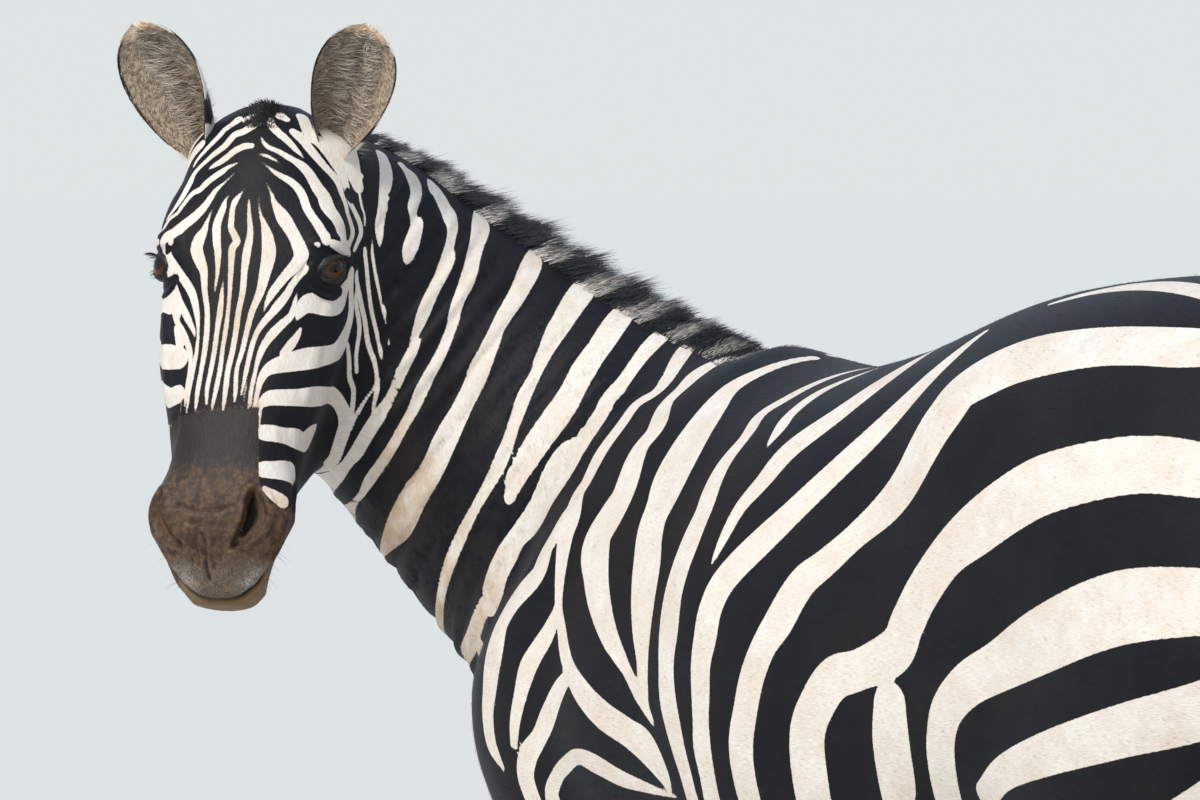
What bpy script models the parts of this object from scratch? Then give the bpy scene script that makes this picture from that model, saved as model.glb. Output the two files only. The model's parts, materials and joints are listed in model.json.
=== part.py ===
"""A still, life-size plains zebra that stands square and looks back over its left shoulder.

Metres, +Z up. The zebra faces -Y, its left side is +X, and the origin is on the floor under the middle of its
bounding box. The flesh is modelled whole: lofts for the trunk with the neck, the head, the tail and the legs. A voxel
remesh joins them, their creases are filled, and swellings and hollows are raised on them for the muscles and bones
that show. Thin cuts part the result into named pieces. Ears, eyes, hooves, mane, forelock and the tail's tuft are
pieces of their own.
"""

import math
from collections import namedtuple

import bmesh
import bpy
import numpy as np
from mathutils import Matrix, Vector

# ---- driving sizes ----------------------------------------------------------------------------------------------
BODY_OFFSET = Vector((-0.090, 0.005, 0.0))  # from the body's own middle plane to the part's origin
GAP = 0.0004  # clearance where two pieces meet
VOXEL = 0.009  # of the remesh that joins the forms
CREASE_ROUNDS = 60  # how far the fillets between the forms grow
EVEN_ROUNDS = 8  # how much the remesh's steps are smoothed
FLESH_TRIANGLES = 4900  # of the whole body before it is parted
RING = 88  # points round a loft

# ---- trunk: sections across the spine, from tail to shoulder -----------------------------------------------------
# y of its top and bottom, their heights, the height and half of the greatest width, and how full it is above and below
Trunk = namedtuple("Trunk", "y_top y_bottom top bottom widest half_width above below")
TRUNK = (
    Trunk(0.760, 0.758, 1.125, 1.055, 1.090, 0.020, 2.0, 2.0),
    Trunk(0.750, 0.744, 1.170, 0.990, 1.085, 0.070, 2.0, 2.0),
    Trunk(0.722, 0.716, 1.226, 0.925, 1.070, 0.130, 2.0, 2.0),
    Trunk(0.655, 0.650, 1.290, 0.850, 1.055, 0.192, 2.1, 2.0),
    Trunk(0.540, 0.540, 1.340, 0.800, 1.050, 0.236, 2.2, 2.0),
    Trunk(0.420, 0.420, 1.362, 0.780, 1.050, 0.255, 2.3, 2.0),
    Trunk(0.300, 0.290, 1.360, 0.755, 1.035, 0.256, 2.25, 2.0),
    Trunk(0.160, 0.160, 1.341, 0.702, 1.005, 0.264, 2.0, 2.1),
    Trunk(0.020, 0.020, 1.297, 0.664, 0.975, 0.284, 1.95, 2.2),
    Trunk(-0.110, -0.110, 1.271, 0.650, 0.965, 0.286, 2.0, 2.2),
    Trunk(-0.190, -0.250, 1.275, 0.668, 0.960, 0.262, 1.9, 2.2),
    Trunk(-0.236, -0.400, 1.284, 0.725, 0.970, 0.232, 1.85, 2.2),
    Trunk(-0.274, -0.510, 1.289, 0.800, 1.000, 0.200, 1.85, 2.2),
)

# ---- neck: a curve that rises and turns to the left --------------------------------------------------------------
NECK_START = Vector((0.0, -0.452, 1.065))
NECK_LENGTH = 0.575
NECK_TURN = (0.0, 96.0)  # degrees to the left at its two ends
NECK_PITCH = (33.0, 50.0)  # degrees above the horizon at its two ends
NECK_CURVE_STEPS = 48
# share of the length, half width, crest above and throat below the curve, and how full it is above and below
Neck = namedtuple("Neck", "share half_width rise drop above below")
NECK = (
    Neck(0.00, 0.172, 0.254, 0.241, 1.8, 2.1),
    Neck(0.22, 0.140, 0.200, 0.214, 1.8, 2.1),
    Neck(0.45, 0.112, 0.165, 0.183, 1.85, 2.1),
    Neck(0.68, 0.094, 0.143, 0.158, 1.9, 2.1),
    Neck(0.88, 0.083, 0.125, 0.140, 2.0, 2.1),
    Neck(1.00, 0.070, 0.093, 0.110, 2.0, 2.0),
)

# ---- head: its own axes are nose (down the face), left and face (out of the forehead) ----------------------------
POLL = Vector((0.3130, -0.712, 1.522))
HEAD_TURN = 126.5  # degrees to the left that the face points
HEAD_DROOP = 22.0  # degrees that the nose comes forward of straight down
HEAD_LEAN = -0.8  # degrees that the nose swings to the head's own left
# distance down the face, profile of the nose and of the jaw, the level and half of the greatest width, fullness
Head = namedtuple("Head", "nose top bottom widest half_width above below")
HEAD = (
    Head(-0.022, -0.035, -0.090, -0.060, 0.030, 2.0, 2.0),
    Head(0.000, -0.006, -0.130, -0.062, 0.058, 2.0, 2.0),
    Head(0.040, 0.007, -0.180, -0.066, 0.076, 2.1, 2.0),
    Head(0.090, 0.013, -0.228, -0.066, 0.086, 2.2, 2.0),
    Head(0.155, 0.014, -0.250, -0.062, 0.092, 2.3, 2.0),
    Head(0.205, 0.009, -0.250, -0.064, 0.092, 2.4, 2.2),
    Head(0.258, 0.002, -0.234, -0.064, 0.087, 2.5, 2.4),
    Head(0.312, -0.003, -0.207, -0.062, 0.075, 2.5, 2.6),
    Head(0.365, -0.006, -0.161, -0.060, 0.064, 2.5, 2.3),
    Head(0.412, -0.008, -0.128, -0.056, 0.064, 2.4, 1.8),
    Head(0.450, -0.017, -0.115, -0.058, 0.058, 2.3, 1.6),
    Head(0.484, -0.036, -0.108, -0.068, 0.047, 2.2, 1.8),
    Head(0.504, -0.060, -0.098, -0.076, 0.029, 2.0, 1.9),
)

# ---- tail: slices across its own curve, from inside the rump to the end of the dock ------------------------------
# place of the middle in Y and Z, and the radius
Tail = namedtuple("Tail", "y z radius")
TAIL = (
    Tail(0.690, 1.180, 0.030),
    Tail(0.735, 1.190, 0.040),
    Tail(0.778, 1.168, 0.035),
    Tail(0.801, 1.110, 0.029),
    Tail(0.806, 1.030, 0.026),
    Tail(0.802, 0.930, 0.024),
    Tail(0.795, 0.830, 0.020),
    Tail(0.790, 0.745, 0.013),
)
TAIL_CUT = 0.775  # Y of the plane that parts the tail from the rump
TUFT = (  # the long hair: it starts round the dock and hangs below it
    Tail(0.797, 0.860, 0.024),
    Tail(0.794, 0.800, 0.032),
    Tail(0.792, 0.720, 0.038),
    Tail(0.794, 0.620, 0.040),
    Tail(0.798, 0.530, 0.032),
    Tail(0.802, 0.460, 0.018),
    Tail(0.804, 0.425, 0.004),
)

# ---- mane and forelock -------------------------------------------------------------------------------------------
# share of the neck's length and height of the hair above the crest, from the withers to the poll
Mane = namedtuple("Mane", "share height")
MANE = (
    Mane(-0.06, -0.004),
    Mane(0.05, 0.002),
    Mane(0.20, 0.008),
    Mane(0.40, 0.016),
    Mane(0.60, 0.019),
    Mane(0.80, 0.015),
    Mane(0.95, 0.008),
    Mane(1.04, 0.003),
)
MANE_HALF_WIDTH = (0.019, 0.006)  # where it grows and at its tips
FORELOCK = (-0.002, -0.052, 0.026, 0.030)  # distance down the face, level, half width and length of the tuft

# ---- ears --------------------------------------------------------------------------------------------------------
EAR_LENGTH = 0.156
EAR_WALL = 0.0065
EAR_BASE = Vector((0.066, 0.028, -0.056))  # in the head's own axes, for the left ear
EAR_WAYS = ((0.049, 0.060, 0.122), (0.056, 0.060, 0.130))  # left and right ear: outward, ahead and up
EAR_FACING = 10.0  # degrees that each cup opens outward of the face
# share of the length, radius across, depth of the cup, and half of the angle that its wall covers
Ear = namedtuple("Ear", "share across deep wrap")
EAR = (
    Ear(-0.10, 0.013, 0.012, 150),
    Ear(0.08, 0.020, 0.020, 142),
    Ear(0.25, 0.030, 0.026, 122),
    Ear(0.45, 0.039, 0.027, 103),
    Ear(0.65, 0.042, 0.024, 92),
    Ear(0.82, 0.036, 0.018, 88),
    Ear(0.94, 0.022, 0.010, 86),
    Ear(1.00, 0.006, 0.004, 86),
)

# ---- eyes --------------------------------------------------------------------------------------------------------
EYE = Vector((0.0780, 0.162, -0.026))  # middle of the left one in the head's own axes
EYE_RADIUS = 0.0205

# ---- cuts between head, neck and trunk, and across the legs ------------------------------------------------------
HEAD_BLOCK = ((-0.40, -0.30, -0.262), (0.115, 0.80, 0.40))  # corners of the block that the head fills, in its axes
NECK_CUT = 0.10  # share of the neck's length
LEG_CUT = 0.635  # height

# ---- legs: level slices, from inside the trunk down to the top of the hoof ---------------------------------------
# height, middle of the slice, half of its width, and its reach forward and back
Leg = namedtuple("Leg", "z x y half_width front back")
FORE_LEG = (
    Leg(1.120, 0.120, -0.360, 0.060, 0.090, 0.090),
    Leg(1.000, 0.138, -0.400, 0.088, 0.135, 0.135),
    Leg(0.900, 0.145, -0.405, 0.092, 0.130, 0.140),
    Leg(0.820, 0.146, -0.390, 0.086, 0.112, 0.130),
    Leg(0.745, 0.144, -0.375, 0.072, 0.090, 0.108),
    Leg(0.670, 0.140, -0.370, 0.058, 0.070, 0.076),
    Leg(0.580, 0.136, -0.372, 0.046, 0.053, 0.054),
    Leg(0.500, 0.134, -0.374, 0.038, 0.041, 0.041),
    Leg(0.445, 0.134, -0.376, 0.043, 0.045, 0.044),
    Leg(0.400, 0.134, -0.374, 0.039, 0.039, 0.045),
    Leg(0.350, 0.134, -0.373, 0.029, 0.029, 0.038),
    Leg(0.245, 0.134, -0.375, 0.028, 0.028, 0.037),
    Leg(0.180, 0.134, -0.379, 0.038, 0.037, 0.049),
    Leg(0.137, 0.134, -0.391, 0.033, 0.032, 0.040),
    Leg(0.104, 0.134, -0.404, 0.036, 0.038, 0.040),
    Leg(0.078, 0.134, -0.412, 0.041, 0.045, 0.047),
)
HIND_LEG = (
    Leg(1.180, 0.110, 0.430, 0.060, 0.110, 0.130),
    Leg(1.060, 0.138, 0.450, 0.110, 0.190, 0.222),
    Leg(0.960, 0.148, 0.440, 0.112, 0.200, 0.212),
    Leg(0.870, 0.150, 0.420, 0.100, 0.192, 0.185),
    Leg(0.790, 0.147, 0.425, 0.083, 0.155, 0.148),
    Leg(0.710, 0.143, 0.458, 0.066, 0.112, 0.106),
    Leg(0.630, 0.139, 0.512, 0.052, 0.080, 0.074),
    Leg(0.565, 0.136, 0.560, 0.041, 0.057, 0.066),
    Leg(0.510, 0.134, 0.588, 0.043, 0.055, 0.074),
    Leg(0.455, 0.133, 0.606, 0.040, 0.045, 0.054),
    Leg(0.380, 0.133, 0.612, 0.031, 0.033, 0.041),
    Leg(0.270, 0.133, 0.608, 0.030, 0.031, 0.039),
    Leg(0.196, 0.133, 0.602, 0.039, 0.038, 0.050),
    Leg(0.148, 0.133, 0.586, 0.034, 0.033, 0.041),
    Leg(0.110, 0.133, 0.571, 0.036, 0.038, 0.041),
    Leg(0.080, 0.133, 0.562, 0.040, 0.045, 0.047),
)

# ---- muscles, bones and hollows that show: middle, reach along X, Y and Z, and height of the swelling ------------
Swell = namedtuple("Swell", "middle reach height")
BODY_SWELLS = (  # each is made on both sides
    Swell((0.180, -0.350, 1.080), (0.140, 0.090, 0.180), 0.010),  # shoulder blade
    Swell((0.220, -0.290, 0.900), (0.120, 0.090, 0.090), 0.014),  # triceps
    Swell((0.220, -0.160, 1.000), (0.140, 0.060, 0.160), -0.007),  # hollow behind the shoulder
    Swell((0.190, -0.470, 0.930), (0.120, 0.080, 0.090), 0.010),  # point of the shoulder
    Swell((0.085, -0.590, 0.870), (0.080, 0.120, 0.090), 0.010),  # breast
    Swell((0.000, -0.610, 0.880), (0.030, 0.100, 0.120), -0.010),  # groove of the breast
    Swell((0.140, -0.500, 1.080), (0.110, 0.045, 0.150), -0.009),  # hollow before the shoulder blade
    Swell((0.210, 0.210, 1.215), (0.080, 0.075, 0.075), 0.010),  # point of the hip
    Swell((0.250, 0.120, 1.110), (0.110, 0.070, 0.110), -0.014),  # hollow of the flank
    Swell((0.250, 0.590, 1.030), (0.120, 0.080, 0.170), 0.008),  # back of the thigh
    Swell((0.250, 0.250, 0.900), (0.120, 0.080, 0.090), 0.012),  # stifle
    Swell((0.200, 0.150, 0.800), (0.100, 0.090, 0.090), 0.010),  # fold of the flank
    Swell((0.130, -0.285, 0.770), (0.080, 0.040, 0.040), 0.012),  # elbow
    Swell((0.130, 0.665, 0.520), (0.050, 0.030, 0.035), 0.010),  # point of the hock
)
HEAD_SWELLS = (  # each is made on both sides, along the head's own axes: left, nose and face
    Swell((0.090, 0.150, -0.010), (0.030, 0.034, 0.026), 0.014),  # rim of the eye socket
    Swell((0.100, 0.166, -0.022), (0.018, 0.017, 0.014), -0.008),  # opening of the eyelids
    Swell((0.086, 0.104, -0.022), (0.034, 0.040, 0.036), 0.013),  # temple
    Swell((0.068, 0.030, -0.052), (0.034, 0.028, 0.034), 0.012),  # root of the ear
    Swell((0.075, 0.185, -0.160), (0.050, 0.070, 0.070), 0.010),  # cheek
    Swell((0.080, 0.245, -0.062), (0.030, 0.060, 0.018), 0.004),  # ridge of the cheekbone
    Swell((0.055, 0.310, -0.110), (0.050, 0.060, 0.030), -0.007),  # hollow behind the mouth
    Swell((0.056, 0.420, -0.042), (0.028, 0.036, 0.030), 0.016),  # nostril
    Swell((0.000, 0.472, -0.060), (0.040, 0.030, 0.030), 0.006),  # upper lip
    Swell((0.000, 0.455, -0.125), (0.030, 0.025, 0.025), 0.008),  # chin
)


# ---- shared building blocks -------------------------------------------------------------------------------------
def smooth_rows(rows, steps):
    """Rows of numbers with `steps` more between each pair, on a Catmull-Rom curve through them."""
    rows = np.array(rows, float)
    padded = np.vstack([2 * rows[0] - rows[1], rows, 2 * rows[-1] - rows[-2]])
    out = []
    for i in range(1, len(padded) - 2):
        a, b, c, d = padded[i - 1 : i + 3]
        for t in np.arange(steps) / steps:
            out.append(
                0.5 * (2 * b + (c - a) * t + (2 * a - 5 * b + 4 * c - d) * t**2)
                + 0.5 * (3 * b - 3 * c + d - a) * t**3
            )
    out.append(rows[-1])
    return np.array(out)


def ring(middle, side, up, half_width, rise, drop, above, below, count=RING):
    """A closed section: half ellipses above and below its widest level, fuller where the power is over 2."""
    points = []
    for i in range(count):
        angle = 2 * math.pi * i / count
        s, c = math.sin(angle), math.cos(angle)
        power = 2 / (above if c > 0 else below)
        across = half_width * math.copysign(abs(s) ** power, s)
        along = (rise if c > 0 else drop) * math.copysign(abs(c) ** power, c)
        points.append(middle + side * across + up * along)
    return points


def loft(name, rings):
    """A closed mesh through the rings, with its two ends closed by fans."""
    bm = bmesh.new()
    rows = [[bm.verts.new(point) for point in points] for points in rings]
    count = len(rows[0])
    for a, b in zip(rows, rows[1:]):
        for i in range(count):
            j = (i + 1) % count
            bm.faces.new((a[i], a[j], b[j], b[i]))
    for row in (rows[0], rows[-1]):
        middle = bm.verts.new(sum((v.co for v in row), Vector()) / count)
        for i in range(count):
            bm.faces.new((middle, row[i], row[(i + 1) % count]))
    bmesh.ops.recalc_face_normals(bm, faces=bm.faces)
    return mesh_object(name, bm)


def mesh_object(name, bm):
    mesh = bpy.data.meshes.new(name)
    bm.to_mesh(mesh)
    bm.free()
    made = bpy.data.objects.new(name, mesh)
    bpy.context.scene.collection.objects.link(made)
    return made


def swell(mesh, swells, axes=Matrix.Identity(4)):
    """Raises the mesh along its normals, or lowers it where a height is negative, round each middle and its mirror."""
    places, normals = numbers(mesh, "co"), numbers(mesh, "normal")
    back = np.array(axes.inverted())
    own = places @ back[:3, :3].T + back[:3, 3]
    rise = np.zeros(len(places))
    for middle, reach, height in swells:
        sides = (1, -1) if middle[0] else (1,)
        for side in sides:
            off = (own - np.array(middle) * (side, 1, 1)) / reach
            rise += height * np.exp(-(off**2).sum(1))
    mesh.vertices.foreach_set("co", (places + normals * rise[:, None]).ravel())
    mesh.update()


def numbers(mesh, what):
    values = np.empty(len(mesh.vertices) * 3)
    mesh.vertices.foreach_get(what, values)
    return values.reshape(-1, 3)


# ---- where things are -------------------------------------------------------------------------------------------
def neck_frames():
    """Middle, left, up and forward directions along the neck, evenly spaced from the shoulder to the poll."""
    place, frames = NECK_START.copy(), []
    for i in range(NECK_CURVE_STEPS + 1):
        t = i / NECK_CURVE_STEPS
        turn = math.radians(NECK_TURN[0] + (NECK_TURN[1] - NECK_TURN[0]) * t)
        pitch = math.radians(NECK_PITCH[0] + (NECK_PITCH[1] - NECK_PITCH[0]) * t)
        level = Vector((math.sin(turn), -math.cos(turn), 0))
        left = Vector((math.cos(turn), math.sin(turn), 0))
        ahead = level * math.cos(pitch) + Vector((0, 0, math.sin(pitch)))
        up = left.cross(ahead) * -1
        frames.append((place.copy(), left, up, ahead))
        place += ahead * NECK_LENGTH / NECK_CURVE_STEPS
    return frames


def head_axes():
    """The head's own axes as a matrix: x is its left, y is down the nose and z is out of the forehead."""
    turn, droop = math.radians(HEAD_TURN), math.radians(HEAD_DROOP)
    ahead = Vector((math.sin(turn), -math.cos(turn), 0))
    left = Vector((math.cos(turn), math.sin(turn), 0))
    down = Vector((0, 0, -1))
    nose = ahead * math.sin(droop) + down * math.cos(droop)
    face = ahead * math.cos(droop) - down * math.sin(droop)
    lean = Matrix.Rotation(math.radians(HEAD_LEAN), 3, face)
    axes = Matrix((lean @ left, lean @ nose, face)).transposed().to_4x4()
    axes.translation = POLL
    return axes


# ---- the flesh --------------------------------------------------------------------------------------------------
def trunk_and_neck():
    rows = []
    for s in TRUNK:
        top = Vector((0, s.y_top, s.top))
        bottom = Vector((0, s.y_bottom, s.bottom))
        level = (s.widest - s.bottom) / (s.top - s.bottom)
        middle, up = bottom.lerp(top, level), (top - bottom).normalized()
        rise, drop = (top - middle).length, (middle - bottom).length
        rows.append((*middle, 1, 0, 0, *up, s.half_width, rise, drop, s.above, s.below))
    frames = neck_frames()
    for s in NECK:
        middle, left, up, _ = frames[round(s.share * NECK_CURVE_STEPS)]
        rows.append((*middle, *left, *up, s.half_width, s.rise, s.drop, s.above, s.below))
    rings = []
    for row in smooth_rows(rows, 5):
        up = Vector(row[6:9]).normalized()
        side = Vector(row[3:6])
        side = (side - up * side.dot(up)).normalized()
        rings.append(ring(Vector(row[:3]), side, up, *row[9:]))
    return loft("trunk and neck", rings)


def head():
    axes = head_axes().to_3x3()
    rings = []
    for nose, top, bottom, widest, half_width, above, below in smooth_rows(HEAD, 4):
        middle = POLL + axes @ Vector((0, nose, widest))
        rise, drop = top - widest, widest - bottom
        rings.append(ring(middle, axes.col[0], axes.col[2], half_width, rise, drop, above, below))
    return loft("head", rings)


def leg(name, slices, side):
    rings = []
    for z, x, y, half_width, front, back in smooth_rows(slices, 4):
        middle = Vector((side * x, y, z))
        rings.append(
            ring(middle, Vector((1, 0, 0)), Vector((0, -1, 0)), half_width, front, back, 2, 2, 48)
        )
    return loft(name, rings)


def tube(name, slices, count=20):
    """A round loft along a curve in the middle plane."""
    rows = smooth_rows(slices, 2)
    rings = []
    for i, (y, z, radius) in enumerate(rows):
        before, after = rows[max(i - 1, 0)], rows[min(i + 1, len(rows) - 1)]
        along = Vector((0, after[0] - before[0], after[1] - before[1])).normalized()
        side = Vector((1, 0, 0))
        rings.append(ring(Vector((0, y, z)), side, side.cross(along), radius, radius, radius, 2, 2, count))
    return loft(name, rings)


def flesh():
    """All the forms joined into one closed mesh, in the body's own place."""
    forms = [trunk_and_neck(), head(), tube("tail", TAIL, 32)]
    for side in (1, -1):
        forms.append(leg("fore leg", FORE_LEG, side))
        forms.append(leg("hind leg", HIND_LEG, side))
    whole = joined("flesh", forms)
    remesh = whole.modifiers.new("join", "REMESH")
    remesh.mode = "VOXEL"
    remesh.voxel_size = VOXEL
    applied(whole)
    fill_creases(whole.data, CREASE_ROUNDS)
    swell(whole.data, BODY_SWELLS)
    swell(whole.data, HEAD_SWELLS, head_axes())
    even(whole.data, EVEN_ROUNDS)
    return whole


def joined(name, objects):
    """One object that holds the meshes of all of them."""
    bm = bmesh.new()
    for made in objects:
        bm.from_mesh(made.data)
        bpy.data.objects.remove(made)
    return mesh_object(name, bm)


def applied(made):
    """Replaces the object's mesh with what its modifiers make of it."""
    graph = bpy.context.evaluated_depsgraph_get()
    mesh = bpy.data.meshes.new_from_object(made.evaluated_get(graph))
    made.modifiers.clear()
    made.data = mesh
    return made


def neighbours_of(mesh):
    """A function that gives, for each vertex, how far the middle of its neighbours is from it."""
    count = len(mesh.vertices)
    ends = np.empty(len(mesh.edges) * 2, int)
    mesh.edges.foreach_get("vertices", ends)
    a, b = ends.reshape(-1, 2).T
    number = np.bincount(np.concatenate([a, b]), minlength=count)[:, None]

    def pull(places):
        total = np.empty_like(places)
        for axis in range(3):
            total[:, axis] = np.bincount(a, places[b, axis], count)
            total[:, axis] += np.bincount(b, places[a, axis], count)
        return total / number - places

    return pull


def fill_creases(mesh, rounds):
    """Smooths the mesh only where it is hollow, so that a fillet grows in each crease and nothing else shrinks."""
    places, pull_of = numbers(mesh, "co"), neighbours_of(mesh)
    for step in range(rounds):
        if step % 5 == 0:
            mesh.vertices.foreach_set("co", places.ravel())
            mesh.update()
            normals = numbers(mesh, "normal")
        pull = pull_of(places)
        hollow = np.clip((pull * normals).sum(1) / (0.02 * VOXEL), 0, 1)
        places += pull * (0.12 + 0.68 * hollow)[:, None] * (hollow > 0)[:, None]
    mesh.vertices.foreach_set("co", places.ravel())
    mesh.update()


def even(mesh, rounds):
    """Smooths the mesh and pushes it back by as much, so that small steps go and the forms keep their size."""
    places, pull_of = numbers(mesh, "co"), neighbours_of(mesh)
    for _ in range(rounds):
        places += 0.5 * pull_of(places)
        places -= 0.52 * pull_of(places)
    mesh.vertices.foreach_set("co", places.ravel())
    mesh.update()


# ---- pieces of their own ----------------------------------------------------------------------------------------
def ear(name, side, way):
    """A cupped shell that opens towards the face. It starts inside the head."""
    axes = head_axes()
    base = axes @ Vector((side * EAR_BASE.x, EAR_BASE.y, EAR_BASE.z))
    left = axes.to_3x3().col[0]
    ahead = left.cross(Vector((0, 0, 1))).normalized()
    up = (left * side * way[0] + ahead * way[1] + Vector((0, 0, way[2]))).normalized()
    facing = math.radians(EAR_FACING)
    front = ahead * math.cos(facing) + left * side * math.sin(facing)
    front = (front - up * front.dot(up)).normalized()
    across = up.cross(front)
    steps = 12
    bm = bmesh.new()
    walls = []
    for inward in (0, EAR_WALL):
        rows = []
        for share, width, deep, wrap in smooth_rows(EAR, 1):
            row = []
            for i in range(steps + 1):
                angle = math.radians(wrap) * (2 * i / steps - 1)
                thin = inward * max(0.3, 1 - abs(2 * i / steps - 1) ** 4 * 0.7)
                x = (width - thin) * math.sin(angle)
                y = (deep - thin) * math.cos(angle)
                lean = EAR_LENGTH * (share - (thin / EAR_LENGTH if share > 0.9 else 0))
                row.append(bm.verts.new(base + up * lean + across * x - front * (y - deep * 0.4)))
            rows.append(row)
        walls.append(rows)
    outer, inner = walls
    for rows, turned in ((outer, False), (inner, True)):
        for a, b in zip(rows, rows[1:]):
            for i in range(steps):
                quad = [a[i], a[i + 1], b[i + 1], b[i]]
                bm.faces.new(quad[::-1] if turned else quad)
    rim = [row[0] for row in outer] + outer[-1][1:-1] + [row[-1] for row in outer[::-1]] + outer[0][-2:0:-1]
    inner_rim = [row[0] for row in inner] + inner[-1][1:-1] + [row[-1] for row in inner[::-1]] + inner[0][-2:0:-1]
    for i in range(len(rim)):
        j = (i + 1) % len(rim)
        bm.faces.new((rim[i], rim[j], inner_rim[j], inner_rim[i]))
    bmesh.ops.recalc_face_normals(bm, faces=bm.faces)
    return mesh_object(name, bm)


def eye(name, side, radius, segments=16):
    bm = bmesh.new()
    bmesh.ops.create_uvsphere(bm, u_segments=segments, v_segments=segments // 2, radius=radius)
    middle = head_axes() @ Vector((side * EYE.x, EYE.y, EYE.z))
    bmesh.ops.translate(bm, verts=bm.verts, vec=middle)
    return mesh_object(name, bm)


def hoof(name, x, y):
    """A blunt horn cone, wider below and longer at the toe, with a flat sole on the floor."""
    rings = []
    for z, forward, half_width, front, back in (
        (0.0735, 0.000, 0.0415, 0.046, 0.047),
        (0.0600, 0.004, 0.0430, 0.049, 0.049),
        (0.0300, 0.014, 0.0465, 0.053, 0.051),
        (0.0040, 0.022, 0.0495, 0.057, 0.052),
        (0.0000, 0.022, 0.0475, 0.055, 0.050),
    ):
        middle = Vector((x, y - forward, z))
        rings.append(ring(middle, Vector((1, 0, 0)), Vector((0, -1, 0)), half_width, front, back, 2.1, 2.3, 18))
    return loft(name, rings)


def crest_frames(start, end, steps):
    """Points on the crest of the neck with their left and up directions; a share under 0 runs on to the withers."""
    frames = neck_frames()
    rows = smooth_rows([(s.share, s.rise) for s in NECK], 8)
    found = []
    for i in range(steps + 1):
        share = start + (end - start) * i / steps
        held = min(max(share, 0), 1)
        middle, left, up, ahead = frames[round(held * NECK_CURVE_STEPS)]
        rise = float(np.interp(held, rows[:, 0], rows[:, 1]))
        found.append((share, middle + up * rise + ahead * (share - held) * NECK_LENGTH, left, up))
    return found


def mane(name):
    """An upright ridge along the crest, low at its ends, with its tips stepped as the locks part."""
    steps, sections = 22, []
    rows = smooth_rows(MANE, 4)
    for share, place, left, up in crest_frames(MANE[0].share, MANE[-1].share, steps):
        height = float(np.interp(share, rows[:, 0], rows[:, 1]))
        height *= 1 + 0.10 * math.sin(share * 61) + 0.06 * math.sin(share * 143 + 1)
        wide, thin = MANE_HALF_WIDTH
        low = place - up * 0.030
        section = [low + left * wide, low - left * wide]
        section += [place - left * wide * 0.9, place + up * height * 0.6 - left * (wide + thin) * 0.45]
        section += [place + up * height - left * thin, place + up * height + left * thin]
        section += [place + up * height * 0.6 + left * (wide + thin) * 0.45, place + left * wide * 0.9]
        sections.append(section)
    return loft(name, sections)


def forelock(name):
    nose, level, half_width, length = FORELOCK
    axes = head_axes()
    rings = []
    for share, wide in ((-0.8, 0.8), (0.0, 1.0), (0.5, 0.8), (0.85, 0.45), (1.0, 0.12)):
        middle = axes @ Vector((0, nose - length * share * 0.7, level + length * share * 0.8))
        side, up = axes.to_3x3().col[0], axes.to_3x3() @ Vector((0, 0.75, 0.66))
        rings.append(ring(middle, side, up, half_width * wide, 0.016 * wide, 0.016 * wide, 2, 2, 12))
    return loft(name, rings)


# ---- fitting and cutting ----------------------------------------------------------------------------------------
def grown(made, by):
    """A copy of the object with its surface moved out, to cut its neighbours with."""
    copy = made.copy()
    copy.data = made.data.copy()
    bpy.context.scene.collection.objects.link(copy)
    places = numbers(copy.data, "co") + by * numbers(copy.data, "normal")
    copy.data.vertices.foreach_set("co", places.ravel())
    copy.data.update()
    return copy


def cut(made, cutter, operation="DIFFERENCE"):
    boolean = made.modifiers.new("fit", "BOOLEAN")
    boolean.operation, boolean.solver, boolean.object = operation, "EXACT", cutter
    return applied(made)


def head_block(margin):
    """The block that holds the head, grown by a margin: its corner edge passes behind the jaw."""
    low, high = (Vector(corner) for corner in HEAD_BLOCK)
    bm = bmesh.new()
    bmesh.ops.create_cube(bm, size=1)
    size = high - low + Vector((2, 2, 2)) * margin
    bmesh.ops.transform(bm, verts=bm.verts, matrix=Matrix.Diagonal((*size, 1)))
    bmesh.ops.translate(bm, verts=bm.verts, vec=(low + high) / 2)
    bmesh.ops.transform(bm, verts=bm.verts, matrix=head_axes())
    bmesh.ops.recalc_face_normals(bm, faces=bm.faces)
    return mesh_object("head block", bm)


def kept_largest(made):
    """Drops all but the body with the most volume."""
    bm = bmesh.new()
    bm.from_mesh(made.data)
    left, bodies = set(bm.verts), []
    while left:
        found, edge = set(), [left.pop()]
        while edge:
            vert = edge.pop()
            found.add(vert)
            for link in vert.link_edges:
                other = link.other_vert(vert)
                if other in left:
                    left.remove(other)
                    edge.append(other)
        bodies.append(found)
    bodies.sort(key=len)
    for body in bodies[:-1]:
        bmesh.ops.delete(bm, geom=list(body), context="VERTS")
    bm.to_mesh(made.data)
    bm.free()
    return made


def half(made, name, place, normal):
    """The part of the mesh on the far side of a plane, closed flat, GAP / 2 from it."""
    bm = bmesh.new()
    bm.from_mesh(made.data)
    normal = Vector(normal).normalized()
    bmesh.ops.bisect_plane(
        bm,
        geom=list(bm.verts) + list(bm.edges) + list(bm.faces),
        dist=1e-5,
        plane_co=Vector(place) + normal * GAP / 2,
        plane_no=normal,
        clear_inner=True,
    )
    rim = [e for e in bm.edges if e.is_boundary]
    faces = bmesh.ops.holes_fill(bm, edges=rim, sides=0)["faces"]
    bmesh.ops.triangulate(bm, faces=faces)
    bmesh.ops.recalc_face_normals(bm, faces=bm.faces)
    return mesh_object(name, bm)


def parted(made, name, place, normal, rest):
    """Cuts the mesh in two: the new piece `name` beyond the plane, and what is left on the near side."""
    far = half(made, name, place, normal)
    near = half(made, rest, place, -Vector(normal))
    bpy.data.objects.remove(made)
    near.name = rest
    return far, near


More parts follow.
